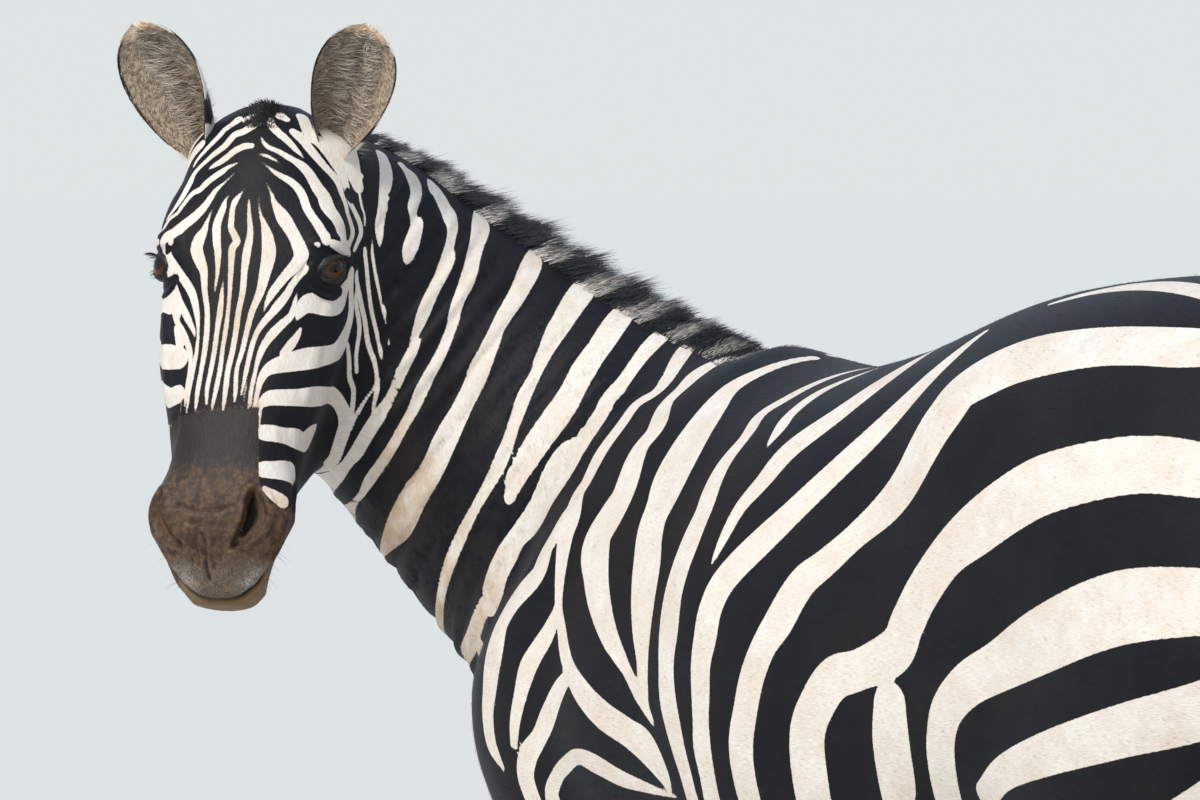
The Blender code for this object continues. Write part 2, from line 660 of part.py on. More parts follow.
def loose_parts(made, namer):
    """Makes each separate body of the mesh its own object, named by where it is."""
    bm = bmesh.new()
    bm.from_mesh(made.data)
    bm.verts.ensure_lookup_table()
    left = set(bm.verts)
    groups = []
    while left:
        group, edge = set(), [left.pop()]
        while edge:
            vert = edge.pop()
            group.add(vert)
            for link in vert.link_edges:
                other = link.other_vert(vert)
                if other in left:
                    left.remove(other)
                    edge.append(other)
        groups.append(group)
    found = []
    for group in groups:
        one = bm.copy()
        one.verts.ensure_lookup_table()
        keep = {v.index for v in group}
        bmesh.ops.delete(one, geom=[v for v in one.verts if v.index not in keep], context="VERTS")
        middle = sum((v.co for v in one.verts), Vector()) / len(one.verts)
        found.append(mesh_object(namer(middle), one))
    bm.free()
    bpy.data.objects.remove(made)
    return found


def leg_name(middle):
    return ("foreleg" if middle.y < 0 else "hindleg") + ("_left" if middle.x > 0 else "_right")


# ---- look -------------------------------------------------------------------------------------------------------
def painted(objects, name, colour, roughness):
    material = bpy.data.materials.new(name)
    material.use_nodes = True
    shader = material.node_tree.nodes["Principled BSDF"]
    shader.inputs["Base Color"].default_value = (*colour, 1)
    shader.inputs["Roughness"].default_value = roughness
    for made in objects:
        made.data.materials.clear()
        made.data.materials.append(material)


def main():
    for old in list(bpy.data.objects):
        bpy.data.objects.remove(old)
    body = flesh()
    few = body.modifiers.new("few", "DECIMATE")
    body.data.calc_loop_triangles()
    few.ratio = FLESH_TRIANGLES / len(body.data.loop_triangles)
    few.use_collapse_triangulate = True
    applied(body)
    outside = grown(body, 2 * GAP)

    manes = [cut(mane("mane"), outside), cut(forelock("forelock"), outside), cut(tube("tail_tuft", TUFT, 10), outside)]
    ears = [cut(ear("ear_left", 1, EAR_WAYS[0]), outside), cut(ear("ear_right", -1, EAR_WAYS[1]), outside)]
    for piece in manes + ears:
        kept_largest(piece)
    bpy.data.objects.remove(outside)

    eyes = [eye("eye_left", 1, EYE_RADIUS), eye("eye_right", -1, EYE_RADIUS)]
    for side in (1, -1):
        socket = eye("socket", side, EYE_RADIUS + GAP, 20)
        cut(body, socket)
        bpy.data.objects.remove(socket)

    frames = neck_frames()
    middle, _, _, ahead = frames[round(NECK_CUT * NECK_CURVE_STEPS)]
    upper, trunk = parted(body, "upper", middle, ahead, "trunk")
    head_piece, neck = upper, upper.copy()
    neck.data = upper.data.copy()
    bpy.context.scene.collection.objects.link(neck)
    head_piece.name, neck.name = "head", "neck"
    for piece, operation, margin in ((head_piece, "INTERSECT", -GAP / 2), (neck, "DIFFERENCE", GAP / 2)):
        block = head_block(margin)
        cut(piece, block, operation)
        bpy.data.objects.remove(block)
    tail, trunk = parted(trunk, "tail", (0, TAIL_CUT, 0), (0, 1, 0), "body")
    legs, trunk = parted(trunk, "legs", (0, 0, LEG_CUT), (0, 0, -1), "trunk")
    legs = loose_parts(legs, leg_name)

    hooves = []
    for slices, word in ((FORE_LEG, "fore"), (HIND_LEG, "hind")):
        for side, hand in ((1, "left"), (-1, "right")):
            end = slices[-1]
            hooves.append(hoof(f"hoof_{word}_{hand}", side * end.x, end.y))

    painted([head_piece, neck, trunk, tail] + legs + ears, "coat", (0.42, 0.40, 0.37), 0.75)
    painted(manes, "mane_hair", (0.02, 0.018, 0.017), 0.7)
    painted(hooves, "hoof_horn", (0.05, 0.045, 0.04), 0.5)
    painted(eyes, "eye", (0.02, 0.012, 0.008), 0.1)
    zebra = bpy.data.collections.new("zebra")
    bpy.context.scene.collection.children.link(zebra)
    for piece in list(bpy.data.objects):
        piece.data.transform(Matrix.Translation(BODY_OFFSET))
        zebra.objects.link(piece)
        bpy.context.scene.collection.objects.unlink(piece)


main()
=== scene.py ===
"""The looks of a still, life-size plains zebra that stands square and looks back over its left shoulder.

Metres, +Z up. The shapes are made in the body's own place, where the body's middle plane is X = 0, and
move to the part's origin at the end. One skin stands for the head, neck, trunk, tail and legs. Its base is
the same set of forms as the CAD's, split finer at the head and along the stripes, and drawn in by the depth
of the coat. Its markings are strokes laid on the body, each a row of stations along the body and
degrees round it. Tufts of hair grow from the skin.
"""

import json
import math
from collections import namedtuple

import bmesh
import bpy
import numpy as np
from mathutils import Matrix, Vector
from mathutils.bvhtree import BVHTree

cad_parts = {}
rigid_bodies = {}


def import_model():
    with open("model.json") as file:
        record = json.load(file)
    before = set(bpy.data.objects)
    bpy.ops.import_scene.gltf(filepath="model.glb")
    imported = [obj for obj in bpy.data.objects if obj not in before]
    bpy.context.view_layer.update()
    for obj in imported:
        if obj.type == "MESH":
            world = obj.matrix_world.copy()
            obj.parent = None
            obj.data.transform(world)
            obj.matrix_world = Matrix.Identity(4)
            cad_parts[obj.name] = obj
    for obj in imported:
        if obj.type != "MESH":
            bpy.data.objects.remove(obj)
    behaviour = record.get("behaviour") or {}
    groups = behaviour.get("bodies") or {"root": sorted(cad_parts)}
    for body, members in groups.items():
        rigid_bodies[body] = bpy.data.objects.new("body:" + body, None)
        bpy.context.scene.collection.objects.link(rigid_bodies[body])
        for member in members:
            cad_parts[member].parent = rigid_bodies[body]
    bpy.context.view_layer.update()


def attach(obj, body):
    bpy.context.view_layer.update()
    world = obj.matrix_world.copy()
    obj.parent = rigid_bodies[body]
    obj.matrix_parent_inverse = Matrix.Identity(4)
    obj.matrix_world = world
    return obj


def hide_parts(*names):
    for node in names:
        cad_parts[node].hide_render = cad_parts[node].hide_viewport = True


for startup in list(bpy.data.objects):
    bpy.data.objects.remove(startup)
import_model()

BODY_OFFSET = Vector((-0.090, 0.005, 0.0))  # from the body's own middle plane to the part's origin
VOXEL = 0.0105  # of the remesh that joins the forms
CREASE_ROUNDS = 44  # how far the fillets between the forms grow
FULL_HOLLOW = 0.02  # of a voxel: how hollow the mesh is where it is smoothed in full
EVEN_ROUNDS = 6  # how much the remesh's steps are smoothed
RING = 88  # points round a loft


# ---- trunk: sections across the spine, from tail to shoulder
# y of its top and bottom, their heights, the height and half of the greatest width, and how full it is
# above and below
Trunk = namedtuple("Trunk", "y_top y_bottom top bottom widest half_width above below")
TRUNK = (
    Trunk(0.760, 0.758, 1.125, 1.055, 1.090, 0.020, 2.0, 2.0),
    Trunk(0.750, 0.744, 1.170, 0.990, 1.085, 0.070, 2.0, 2.0),
    Trunk(0.722, 0.716, 1.226, 0.925, 1.070, 0.130, 2.0, 2.0),
    Trunk(0.655, 0.650, 1.290, 0.850, 1.055, 0.192, 2.1, 2.0),
    Trunk(0.540, 0.540, 1.340, 0.800, 1.050, 0.236, 2.2, 2.0),
    Trunk(0.420, 0.420, 1.362, 0.780, 1.050, 0.255, 2.3, 2.0),
    Trunk(0.300, 0.290, 1.360, 0.755, 1.035, 0.256, 2.25, 2.0),
    Trunk(0.160, 0.160, 1.341, 0.702, 1.005, 0.264, 2.0, 2.1),
    Trunk(0.020, 0.020, 1.297, 0.664, 0.975, 0.284, 1.95, 2.2),
    Trunk(-0.110, -0.110, 1.271, 0.650, 0.965, 0.286, 2.0, 2.2),
    Trunk(-0.190, -0.250, 1.275, 0.668, 0.960, 0.262, 1.9, 2.2),
    Trunk(-0.236, -0.400, 1.284, 0.725, 0.970, 0.232, 1.85, 2.2),
    Trunk(-0.274, -0.510, 1.289, 0.800, 1.000, 0.200, 1.85, 2.2),
)


# ---- neck: a curve that rises and turns to the left
NECK_START = Vector((0.0, -0.452, 1.065))
NECK_LENGTH = 0.575
NECK_TURN = (0.0, 96.0)  # degrees to the left at its two ends
NECK_PITCH = (33.0, 50.0)  # degrees above the horizon at its two ends
NECK_CURVE_STEPS = 48
# share of the length, half width, crest above and throat below the curve, and how full it is above and below
Neck = namedtuple("Neck", "share half_width rise drop above below")
NECK = (
    Neck(0.00, 0.172, 0.254, 0.241, 1.8, 2.1),
    Neck(0.22, 0.140, 0.200, 0.214, 1.8, 2.1),
    Neck(0.45, 0.112, 0.165, 0.183, 1.85, 2.1),
    Neck(0.68, 0.094, 0.143, 0.158, 1.9, 2.1),
    Neck(0.88, 0.083, 0.125, 0.140, 2.0, 2.1),
    Neck(1.00, 0.070, 0.093, 0.110, 2.0, 2.0),
)


# ---- head: its own axes are nose (down the face), left and face (out of the forehead)
POLL = Vector((0.3130, -0.712, 1.522))
HEAD_TURN = 126.5  # degrees to the left that the face points
HEAD_DROOP = 22.0  # degrees that the nose comes forward of straight down
HEAD_LEAN = -0.8  # degrees that the nose swings to the head's own left
# distance down the face, profile of nose and jaw, the level and half of the greatest width, fullness
Head = namedtuple("Head", "nose top bottom widest half_width above below")
HEAD = (
    Head(-0.022, -0.035, -0.090, -0.060, 0.030, 2.0, 2.0),
    Head(0.000, -0.006, -0.130, -0.062, 0.058, 2.0, 2.0),
    Head(0.040, 0.007, -0.180, -0.066, 0.076, 2.1, 2.0),
    Head(0.090, 0.013, -0.228, -0.066, 0.086, 2.2, 2.0),
    Head(0.155, 0.014, -0.250, -0.062, 0.092, 2.3, 2.0),
    Head(0.205, 0.009, -0.250, -0.064, 0.092, 2.4, 2.2),
    Head(0.258, 0.002, -0.234, -0.064, 0.087, 2.5, 2.4),
    Head(0.312, -0.003, -0.207, -0.062, 0.075, 2.5, 2.6),
    Head(0.365, -0.006, -0.161, -0.060, 0.064, 2.5, 2.3),
    Head(0.412, -0.008, -0.128, -0.056, 0.064, 2.4, 1.8),
    Head(0.450, -0.017, -0.115, -0.058, 0.058, 2.3, 1.6),
    Head(0.484, -0.036, -0.108, -0.068, 0.047, 2.2, 1.8),
    Head(0.504, -0.060, -0.098, -0.076, 0.029, 2.0, 1.9),
)


# ---- tail: slices across its own curve, from inside the rump to the end of the dock
# place of the middle in Y and Z, and the radius
Tail = namedtuple("Tail", "y z radius")
TAIL = (
    Tail(0.690, 1.180, 0.030),
    Tail(0.735, 1.190, 0.040),
    Tail(0.778, 1.168, 0.035),
    Tail(0.801, 1.110, 0.029),
    Tail(0.806, 1.030, 0.026),
    Tail(0.802, 0.930, 0.024),
    Tail(0.795, 0.830, 0.020),
    Tail(0.790, 0.745, 0.013),
)
TAIL_CUT = 0.775  # Y of the plane that parts the tail from the rump
TUFT = (  # the long hair: it starts round the dock and hangs below it
    Tail(0.797, 0.860, 0.024),
    Tail(0.794, 0.800, 0.032),
    Tail(0.792, 0.720, 0.038),
    Tail(0.794, 0.620, 0.040),
    Tail(0.798, 0.530, 0.032),
    Tail(0.802, 0.460, 0.018),
    Tail(0.804, 0.425, 0.004),
)


# ---- mane and forelock
# share of the neck's length and height of the hair above the crest, from the withers to the poll
Mane = namedtuple("Mane", "share height")
MANE = (
    Mane(-0.06, -0.004),
    Mane(0.05, 0.002),
    Mane(0.20, 0.008),
    Mane(0.40, 0.016),
    Mane(0.60, 0.019),
    Mane(0.80, 0.015),
    Mane(0.95, 0.008),
    Mane(1.04, 0.003),
)
FORELOCK = (-0.052, 0.026)  # level and half width of the tuft


# ---- ears
EAR_LENGTH = 0.156
EAR_WALL = 0.0065
EAR_BASE = Vector((0.066, 0.028, -0.056))  # in the head's own axes, for the left ear
EAR_WAYS = ((0.049, 0.060, 0.122), (0.056, 0.060, 0.130))  # left and right ear: outward, ahead and up
EAR_FACING = 10.0  # degrees that each cup opens outward of the face
# share of the length, radius across, depth of the cup, and half of the angle that its wall covers
Ear = namedtuple("Ear", "share across deep wrap")
EAR = (
    Ear(-0.10, 0.013, 0.012, 150),
    Ear(0.08, 0.020, 0.020, 142),
    Ear(0.25, 0.030, 0.026, 122),
    Ear(0.45, 0.039, 0.027, 103),
    Ear(0.65, 0.042, 0.024, 92),
    Ear(0.82, 0.036, 0.018, 88),
    Ear(0.94, 0.022, 0.010, 86),
    Ear(1.00, 0.006, 0.004, 86),
)


# ---- eyes
EYE = Vector((0.0780, 0.162, -0.026))  # middle of the left one in the head's own axes
EYE_RADIUS = 0.0205


# ---- legs: level slices, from inside the trunk down to the top of the hoof
# height, middle of the slice, half of its width, and its reach forward and back
Leg = namedtuple("Leg", "z x y half_width front back")
FORE_LEG = (
    Leg(1.120, 0.120, -0.360, 0.060, 0.090, 0.090),
    Leg(1.000, 0.138, -0.400, 0.088, 0.135, 0.135),
    Leg(0.900, 0.145, -0.405, 0.092, 0.130, 0.140),
    Leg(0.820, 0.146, -0.390, 0.086, 0.112, 0.130),
    Leg(0.745, 0.144, -0.375, 0.072, 0.090, 0.108),
    Leg(0.670, 0.140, -0.370, 0.058, 0.070, 0.076),
    Leg(0.580, 0.136, -0.372, 0.046, 0.053, 0.054),
    Leg(0.500, 0.134, -0.374, 0.038, 0.041, 0.041),
    Leg(0.445, 0.134, -0.376, 0.043, 0.045, 0.044),
    Leg(0.400, 0.134, -0.374, 0.039, 0.039, 0.045),
    Leg(0.350, 0.134, -0.373, 0.029, 0.029, 0.038),
    Leg(0.245, 0.134, -0.375, 0.028, 0.028, 0.037),
    Leg(0.180, 0.134, -0.379, 0.038, 0.037, 0.049),
    Leg(0.137, 0.134, -0.391, 0.033, 0.032, 0.040),
    Leg(0.104, 0.134, -0.404, 0.036, 0.038, 0.040),
    Leg(0.078, 0.134, -0.412, 0.041, 0.045, 0.047),
)
HIND_LEG = (
    Leg(1.180, 0.110, 0.430, 0.060, 0.110, 0.130),
    Leg(1.060, 0.138, 0.450, 0.110, 0.190, 0.222),
    Leg(0.960, 0.148, 0.440, 0.112, 0.200, 0.212),
    Leg(0.870, 0.150, 0.420, 0.100, 0.192, 0.185),
    Leg(0.790, 0.147, 0.425, 0.083, 0.155, 0.148),
    Leg(0.710, 0.143, 0.458, 0.066, 0.112, 0.106),
    Leg(0.630, 0.139, 0.512, 0.052, 0.080, 0.074),
    Leg(0.565, 0.136, 0.560, 0.041, 0.057, 0.066),
    Leg(0.510, 0.134, 0.588, 0.043, 0.055, 0.074),
    Leg(0.455, 0.133, 0.606, 0.040, 0.045, 0.054),
    Leg(0.380, 0.133, 0.612, 0.031, 0.033, 0.041),
    Leg(0.270, 0.133, 0.608, 0.030, 0.031, 0.039),
    Leg(0.196, 0.133, 0.602, 0.039, 0.038, 0.050),
    Leg(0.148, 0.133, 0.586, 0.034, 0.033, 0.041),
    Leg(0.110, 0.133, 0.571, 0.036, 0.038, 0.041),
    Leg(0.080, 0.133, 0.562, 0.040, 0.045, 0.047),
)


# ---- muscles, bones and hollows that show: middle, reach along X, Y and Z, and height of the swelling
Swell = namedtuple("Swell", "middle reach height")
BODY_SWELLS = (  # each is made on both sides
    Swell((0.180, -0.350, 1.080), (0.140, 0.090, 0.180), 0.010),  # shoulder blade
    Swell((0.220, -0.290, 0.900), (0.120, 0.090, 0.090), 0.014),  # triceps
    Swell((0.220, -0.160, 1.000), (0.140, 0.060, 0.160), -0.007),  # hollow behind the shoulder
    Swell((0.190, -0.470, 0.930), (0.120, 0.080, 0.090), 0.010),  # point of the shoulder
    Swell((0.085, -0.590, 0.870), (0.080, 0.120, 0.090), 0.010),  # breast
    Swell((0.000, -0.610, 0.880), (0.030, 0.100, 0.120), -0.010),  # groove of the breast
    Swell((0.140, -0.500, 1.080), (0.110, 0.045, 0.150), -0.009),  # hollow before the shoulder blade
    Swell((0.210, 0.210, 1.215), (0.080, 0.075, 0.075), 0.010),  # point of the hip
    Swell((0.250, 0.120, 1.110), (0.110, 0.070, 0.110), -0.014),  # hollow of the flank
    Swell((0.250, 0.590, 1.030), (0.120, 0.080, 0.170), 0.008),  # back of the thigh
    Swell((0.250, 0.250, 0.900), (0.120, 0.080, 0.090), 0.012),  # stifle
    Swell((0.200, 0.150, 0.800), (0.100, 0.090, 0.090), 0.010),  # fold of the flank
    Swell((0.130, -0.285, 0.770), (0.080, 0.040, 0.040), 0.012),  # elbow
    Swell((0.130, 0.665, 0.520), (0.050, 0.030, 0.035), 0.010),  # point of the hock
)
HEAD_SWELLS = (  # each is made on both sides, along the head's own axes: left, nose and face
    Swell((0.090, 0.150, -0.010), (0.030, 0.034, 0.026), 0.014),  # rim of the eye socket
    Swell((0.100, 0.166, -0.022), (0.018, 0.017, 0.014), -0.008),  # opening of the eyelids
    Swell((0.086, 0.104, -0.022), (0.034, 0.040, 0.036), 0.013),  # temple
    Swell((0.068, 0.030, -0.052), (0.034, 0.028, 0.034), 0.012),  # root of the ear
    Swell((0.075, 0.185, -0.160), (0.050, 0.070, 0.070), 0.010),  # cheek
    Swell((0.080, 0.245, -0.062), (0.030, 0.060, 0.018), 0.004),  # ridge of the cheekbone
    Swell((0.055, 0.310, -0.110), (0.050, 0.060, 0.030), -0.007),  # hollow behind the mouth
    Swell((0.056, 0.420, -0.042), (0.028, 0.036, 0.030), 0.016),  # nostril
    Swell((0.000, 0.472, -0.060), (0.040, 0.030, 0.030), 0.006),  # upper lip
    Swell((0.000, 0.455, -0.125), (0.030, 0.025, 0.025), 0.008),  # chin
)


# ---- shared building blocks
def smooth_rows(rows, steps):
    """Rows of numbers with `steps` more between each pair, on a Catmull-Rom curve through them."""
    rows = np.array(rows, float)
    padded = np.vstack([2 * rows[0] - rows[1], rows, 2 * rows[-1] - rows[-2]])
    out = []
    for i in range(1, len(padded) - 2):
        a, b, c, d = padded[i - 1 : i + 3]
        for t in np.arange(steps) / steps:
            out.append(
                0.5 * (2 * b + (c - a) * t + (2 * a - 5 * b + 4 * c - d) * t**2)
                + 0.5 * (3 * b - 3 * c + d - a) * t**3
            )
    out.append(rows[-1])
    return np.array(out)


def ring(middle, side, up, half_width, rise, drop, above, below, count=RING):
    """A closed section: half ellipses above and below its widest level, fuller where the power is over 2."""
    points = []
    for i in range(count):
        angle = 2 * math.pi * i / count
        s, c = math.sin(angle), math.cos(angle)
        power = 2 / (above if c > 0 else below)
        across = half_width * math.copysign(abs(s) ** power, s)
        along = (rise if c > 0 else drop) * math.copysign(abs(c) ** power, c)
        points.append(middle + side * across + up * along)
    return points


def loft(name, rings):
    """A closed mesh through the rings, with its two ends closed by fans."""
    bm = bmesh.new()
    rows = [[bm.verts.new(point) for point in points] for points in rings]
    count = len(rows[0])
    for a, b in zip(rows, rows[1:]):
        for i in range(count):
            j = (i + 1) % count
            bm.faces.new((a[i], a[j], b[j], b[i]))
    for row in (rows[0], rows[-1]):
        middle = bm.verts.new(sum((v.co for v in row), Vector()) / count)
        for i in range(count):
            bm.faces.new((middle, row[i], row[(i + 1) % count]))
    bmesh.ops.recalc_face_normals(bm, faces=bm.faces)
    return mesh_object(name, bm)


def mesh_object(name, bm):
    mesh = bpy.data.meshes.new(name)
    bm.to_mesh(mesh)
    bm.free()
    made = bpy.data.objects.new(name, mesh)
    bpy.context.scene.collection.objects.link(made)
    return made


def swell(mesh, swells, axes=Matrix.Identity(4)):
    """Raises the mesh round each middle and its mirror, or lowers it where a height is negative."""
    places, normals = numbers(mesh, "co"), numbers(mesh, "normal")
    back = np.array(axes.inverted())
    own = places @ back[:3, :3].T + back[:3, 3]
    rise = np.zeros(len(places))
    for middle, reach, height in swells:
        sides = (1, -1) if middle[0] else (1,)
        for side in sides:
            off = (own - np.array(middle) * (side, 1, 1)) / reach
            rise += height * np.exp(-(off**2).sum(1))
    place_at(mesh, places + normals * rise[:, None])


def numbers(mesh, what):
    values = np.empty(len(mesh.vertices) * 3)
    mesh.vertices.foreach_get(what, values)
    return values.reshape(-1, 3)


def place_at(mesh, places):
    mesh.vertices.foreach_set("co", places.ravel())
    mesh.update()


def smoothed(made):
    for polygon in made.data.polygons:
        polygon.use_smooth = True


def corner_points(mesh):
    """The vertex of each corner of the faces."""
    index = np.empty(len(mesh.loops), np.int32)
    mesh.loops.foreach_get("vertex_index", index)
    return index


# ---- where things are
def neck_frames():
    """Middle, left, up and forward directions along the neck, evenly spaced from the shoulder to the poll."""
    place, frames = NECK_START.copy(), []
    for i in range(NECK_CURVE_STEPS + 1):
        t = i / NECK_CURVE_STEPS
        turn = math.radians(NECK_TURN[0] + (NECK_TURN[1] - NECK_TURN[0]) * t)
        pitch = math.radians(NECK_PITCH[0] + (NECK_PITCH[1] - NECK_PITCH[0]) * t)
        level = Vector((math.sin(turn), -math.cos(turn), 0))
        left = Vector((math.cos(turn), math.sin(turn), 0))
        ahead = level * math.cos(pitch) + Vector((0, 0, math.sin(pitch)))
        up = left.cross(ahead) * -1
        frames.append((place.copy(), left, up, ahead))
        place += ahead * NECK_LENGTH / NECK_CURVE_STEPS
    return frames


def head_axes():
    """The head's own axes as a matrix: x is its left, y is down the nose and z is out of the forehead."""
    turn, droop = math.radians(HEAD_TURN), math.radians(HEAD_DROOP)
    ahead = Vector((math.sin(turn), -math.cos(turn), 0))
    left = Vector((math.cos(turn), math.sin(turn), 0))
    down = Vector((0, 0, -1))
    nose = ahead * math.sin(droop) + down * math.cos(droop)
    face = ahead * math.cos(droop) - down * math.sin(droop)
    lean = Matrix.Rotation(math.radians(HEAD_LEAN), 3, face)
    axes = Matrix((lean @ left, lean @ nose, face)).transposed().to_4x4()
    axes.translation = POLL
    return axes


# ---- the flesh
def trunk_and_neck():
    rows = []
    for s in TRUNK:
        top = Vector((0, s.y_top, s.top))
        bottom = Vector((0, s.y_bottom, s.bottom))
        level = (s.widest - s.bottom) / (s.top - s.bottom)
        middle, up = bottom.lerp(top, level), (top - bottom).normalized()
        rise, drop = (top - middle).length, (middle - bottom).length
        rows.append((*middle, 1, 0, 0, *up, s.half_width, rise, drop, s.above, s.below))
    frames = neck_frames()
    for s in NECK:
        middle, left, up, _ = frames[round(s.share * NECK_CURVE_STEPS)]
        rows.append((*middle, *left, *up, s.half_width, s.rise, s.drop, s.above, s.below))
    rings = []
    for row in smooth_rows(rows, 5):
        up = Vector(row[6:9]).normalized()
        side = Vector(row[3:6])
        side = (side - up * side.dot(up)).normalized()
        rings.append(ring(Vector(row[:3]), side, up, *row[9:]))
    return loft("trunk and neck", rings)


def head():
    axes = head_axes().to_3x3()
    rings = []
    for nose, top, bottom, widest, half_width, above, below in smooth_rows(HEAD, 4):
        middle = POLL + axes @ Vector((0, nose, widest))
        rise, drop = top - widest, widest - bottom
        rings.append(ring(middle, axes.col[0], axes.col[2], half_width, rise, drop, above, below))
    return loft("head", rings)


def leg(name, slices, side):
    rings = []
    for z, x, y, half_width, front, back in smooth_rows(slices, 4):
        middle = Vector((side * x, y, z))
        rings.append(
            ring(middle, Vector((1, 0, 0)), Vector((0, -1, 0)), half_width, front, back, 2, 2, 48)
        )
    return loft(name, rings)


def dock():
    """The tail's flesh: a round loft along a curve in the middle plane."""
    rows = smooth_rows(TAIL, 2)
    rings, side = [], Vector((1, 0, 0))
    for i, (y, z, radius) in enumerate(rows):
        before, after = rows[max(i - 1, 0)], rows[min(i + 1, len(rows) - 1)]
        along = Vector((0, after[0] - before[0], after[1] - before[1])).normalized()
        rings.append(ring(Vector((0, y, z)), side, side.cross(along), radius, radius, radius, 2, 2, 32))
    return loft("tail", rings)


def flesh():
    """All the forms joined into one closed mesh, in the body's own place."""
    forms = [trunk_and_neck(), head(), dock()]
    for side in (1, -1):
        forms.append(leg("fore leg", FORE_LEG, side))
        forms.append(leg("hind leg", HIND_LEG, side))
    whole = joined("flesh", forms)
    remesh = whole.modifiers.new("join", "REMESH")
    remesh.mode = "VOXEL"
    remesh.voxel_size = VOXEL
    applied(whole)
    fill_creases(whole.data, CREASE_ROUNDS)
    swell(whole.data, BODY_SWELLS)
    swell(whole.data, HEAD_SWELLS, head_axes())
    even(whole.data, EVEN_ROUNDS)
    return whole


def joined(name, objects):
    """One object that holds the meshes of all of them."""
    bm = bmesh.new()
    for made in objects:
        bm.from_mesh(made.data)
        bpy.data.objects.remove(made)
    return mesh_object(name, bm)


def applied(made):
    """Replaces the object's mesh with what its modifiers make of it."""
    graph = bpy.context.evaluated_depsgraph_get()
    mesh = bpy.data.meshes.new_from_object(made.evaluated_get(graph))
    made.modifiers.clear()
    made.data = mesh
    return made


def neighbours_of(mesh):
    """A function that gives, for each vertex, how far the middle of its neighbours is from it."""
    count = len(mesh.vertices)
    ends = np.empty(len(mesh.edges) * 2, int)
    mesh.edges.foreach_get("vertices", ends)
    a, b = ends.reshape(-1, 2).T
    number = np.bincount(np.concatenate([a, b]), minlength=count)[:, None]

    def pull(places):
        total = np.empty_like(places)
        for axis in range(3):
            total[:, axis] = np.bincount(a, places[b, axis], count)
            total[:, axis] += np.bincount(b, places[a, axis], count)
        return total / number - places

    return pull


def fill_creases(mesh, rounds):
    """Smooths the mesh only where it is hollow, so that a fillet grows in each crease."""
    places, pull_of = numbers(mesh, "co"), neighbours_of(mesh)
    for step in range(rounds):
        if step % 5 == 0:
            place_at(mesh, places)
            normals = numbers(mesh, "normal")
        pull = pull_of(places)
        hollow = np.clip((pull * normals).sum(1) / (FULL_HOLLOW * VOXEL), 0, 1)
        places += pull * (0.12 + 0.68 * hollow)[:, None] * (hollow > 0)[:, None]
    place_at(mesh, places)


def even(mesh, rounds):
    """Smooths the mesh and pushes it back by as much, so that small steps go and forms keep their size."""
    places, pull_of = numbers(mesh, "co"), neighbours_of(mesh)
    for _ in range(rounds):
        places += 0.5 * pull_of(places)
        places -= 0.52 * pull_of(places)
    place_at(mesh, places)


# ---- charts: where a point is on the head, on the neck and on the trunk
HEAD_BACK = np.array(head_axes().inverted())
HEAD_LEVEL = -0.080  # of the line that the head's degrees turn round
FRAMES = neck_frames()
TRUNK_LEVELS = sorted(((s.y_top + s.y_bottom) / 2, s.widest) for s in TRUNK)


def smoothstep(values, low, high):
    t = np.clip((values - low) / (high - low), 0, 1)
    return t * t * (3 - 2 * t)


def unit(vectors):
    return vectors / np.maximum(np.linalg.norm(vectors, axis=-1, keepdims=True), 1e-12)


def in_head(points):
    """Distances to the head's left, down its nose and out of its face."""
    return points @ HEAD_BACK[:3, :3].T + HEAD_BACK[:3, 3]


def in_neck(points):
    """Share of the neck's length, and distances to the left of its curve and above it."""
    nearest = np.full(len(points), 9.0)
    found = np.zeros((len(points), 3))
    for i, (place, left, up, ahead) in enumerate(FRAMES):
        off = points - np.array(place)
        along = off @ np.array(ahead)
        reach = np.abs(along) + 0.3 * np.maximum(np.linalg.norm(off, axis=1) - 0.26, 0)
        closer = reach < nearest
        nearest[closer] = reach[closer]
        share = (i + along * NECK_CURVE_STEPS / NECK_LENGTH) / NECK_CURVE_STEPS
        values = np.stack([share, off @ np.array(left), off @ np.array(up)], axis=1)
        found[closer] = values[closer]
    return found


def head_share(points):
    """1 on the head, 0 away from it."""
    own = in_head(points)
    rows = np.array(HEAD)
    top, bottom, wide = (np.interp(own[:, 1], rows[:, 0], rows[:, i]) for i in (1, 2, 4))
    across = np.abs(own[:, 0]) / (wide + 0.012)
    deep = np.abs(own[:, 2] - (top + bottom) / 2) / ((top - bottom) / 2 + 0.010)
    inside = np.maximum(across, deep)
    behind = smoothstep(own[:, 1], -0.060, -0.020)
    return smoothstep(inside, 1.35, 1.10) * behind


# ---- the skin's mesh
def refined(made, inside, rounds):
    """Splits the faces whose corners are all inside into four, and evens what that makes."""
    bm = bmesh.new()
    bm.from_mesh(made.data)
    chosen = inside(numbers(made.data, "co"))
    edges = [e for e in bm.edges if chosen[e.verts[0].index] and chosen[e.verts[1].index]]
    bmesh.ops.subdivide_edges(bm, edges=edges, cuts=1, use_grid_fill=True, smooth=0.9)
    bm.to_mesh(made.data)
    bm.free()
    even(made.data, rounds)


# ---- markings: strokes laid on the body
PLAIN = 0.030  # the distance that stands for far from any stroke
SEEN_FROM = (0.643, 0.766, 0.018)  # the side that the strokes' widths are given for
REACH = {"head": 0.185, "fore": 0.105, "hind": 0.135}  # rays that go farther leave by another part
MISSED = 0.1  # how far along a ray its place is where it meets nothing
FINE_REACH, BROAD_REACH = 0.014, 0.030  # how far round a stroke its distances are worked out

# The widths of the face's strokes: the least share of them that shows on its far side, the share that shows
# on the far cheek, and what is added to the half width of each.
FAR_FACE, FAR_SIDE, HEAD_MORE = 0.8, 0.85, 0.0004

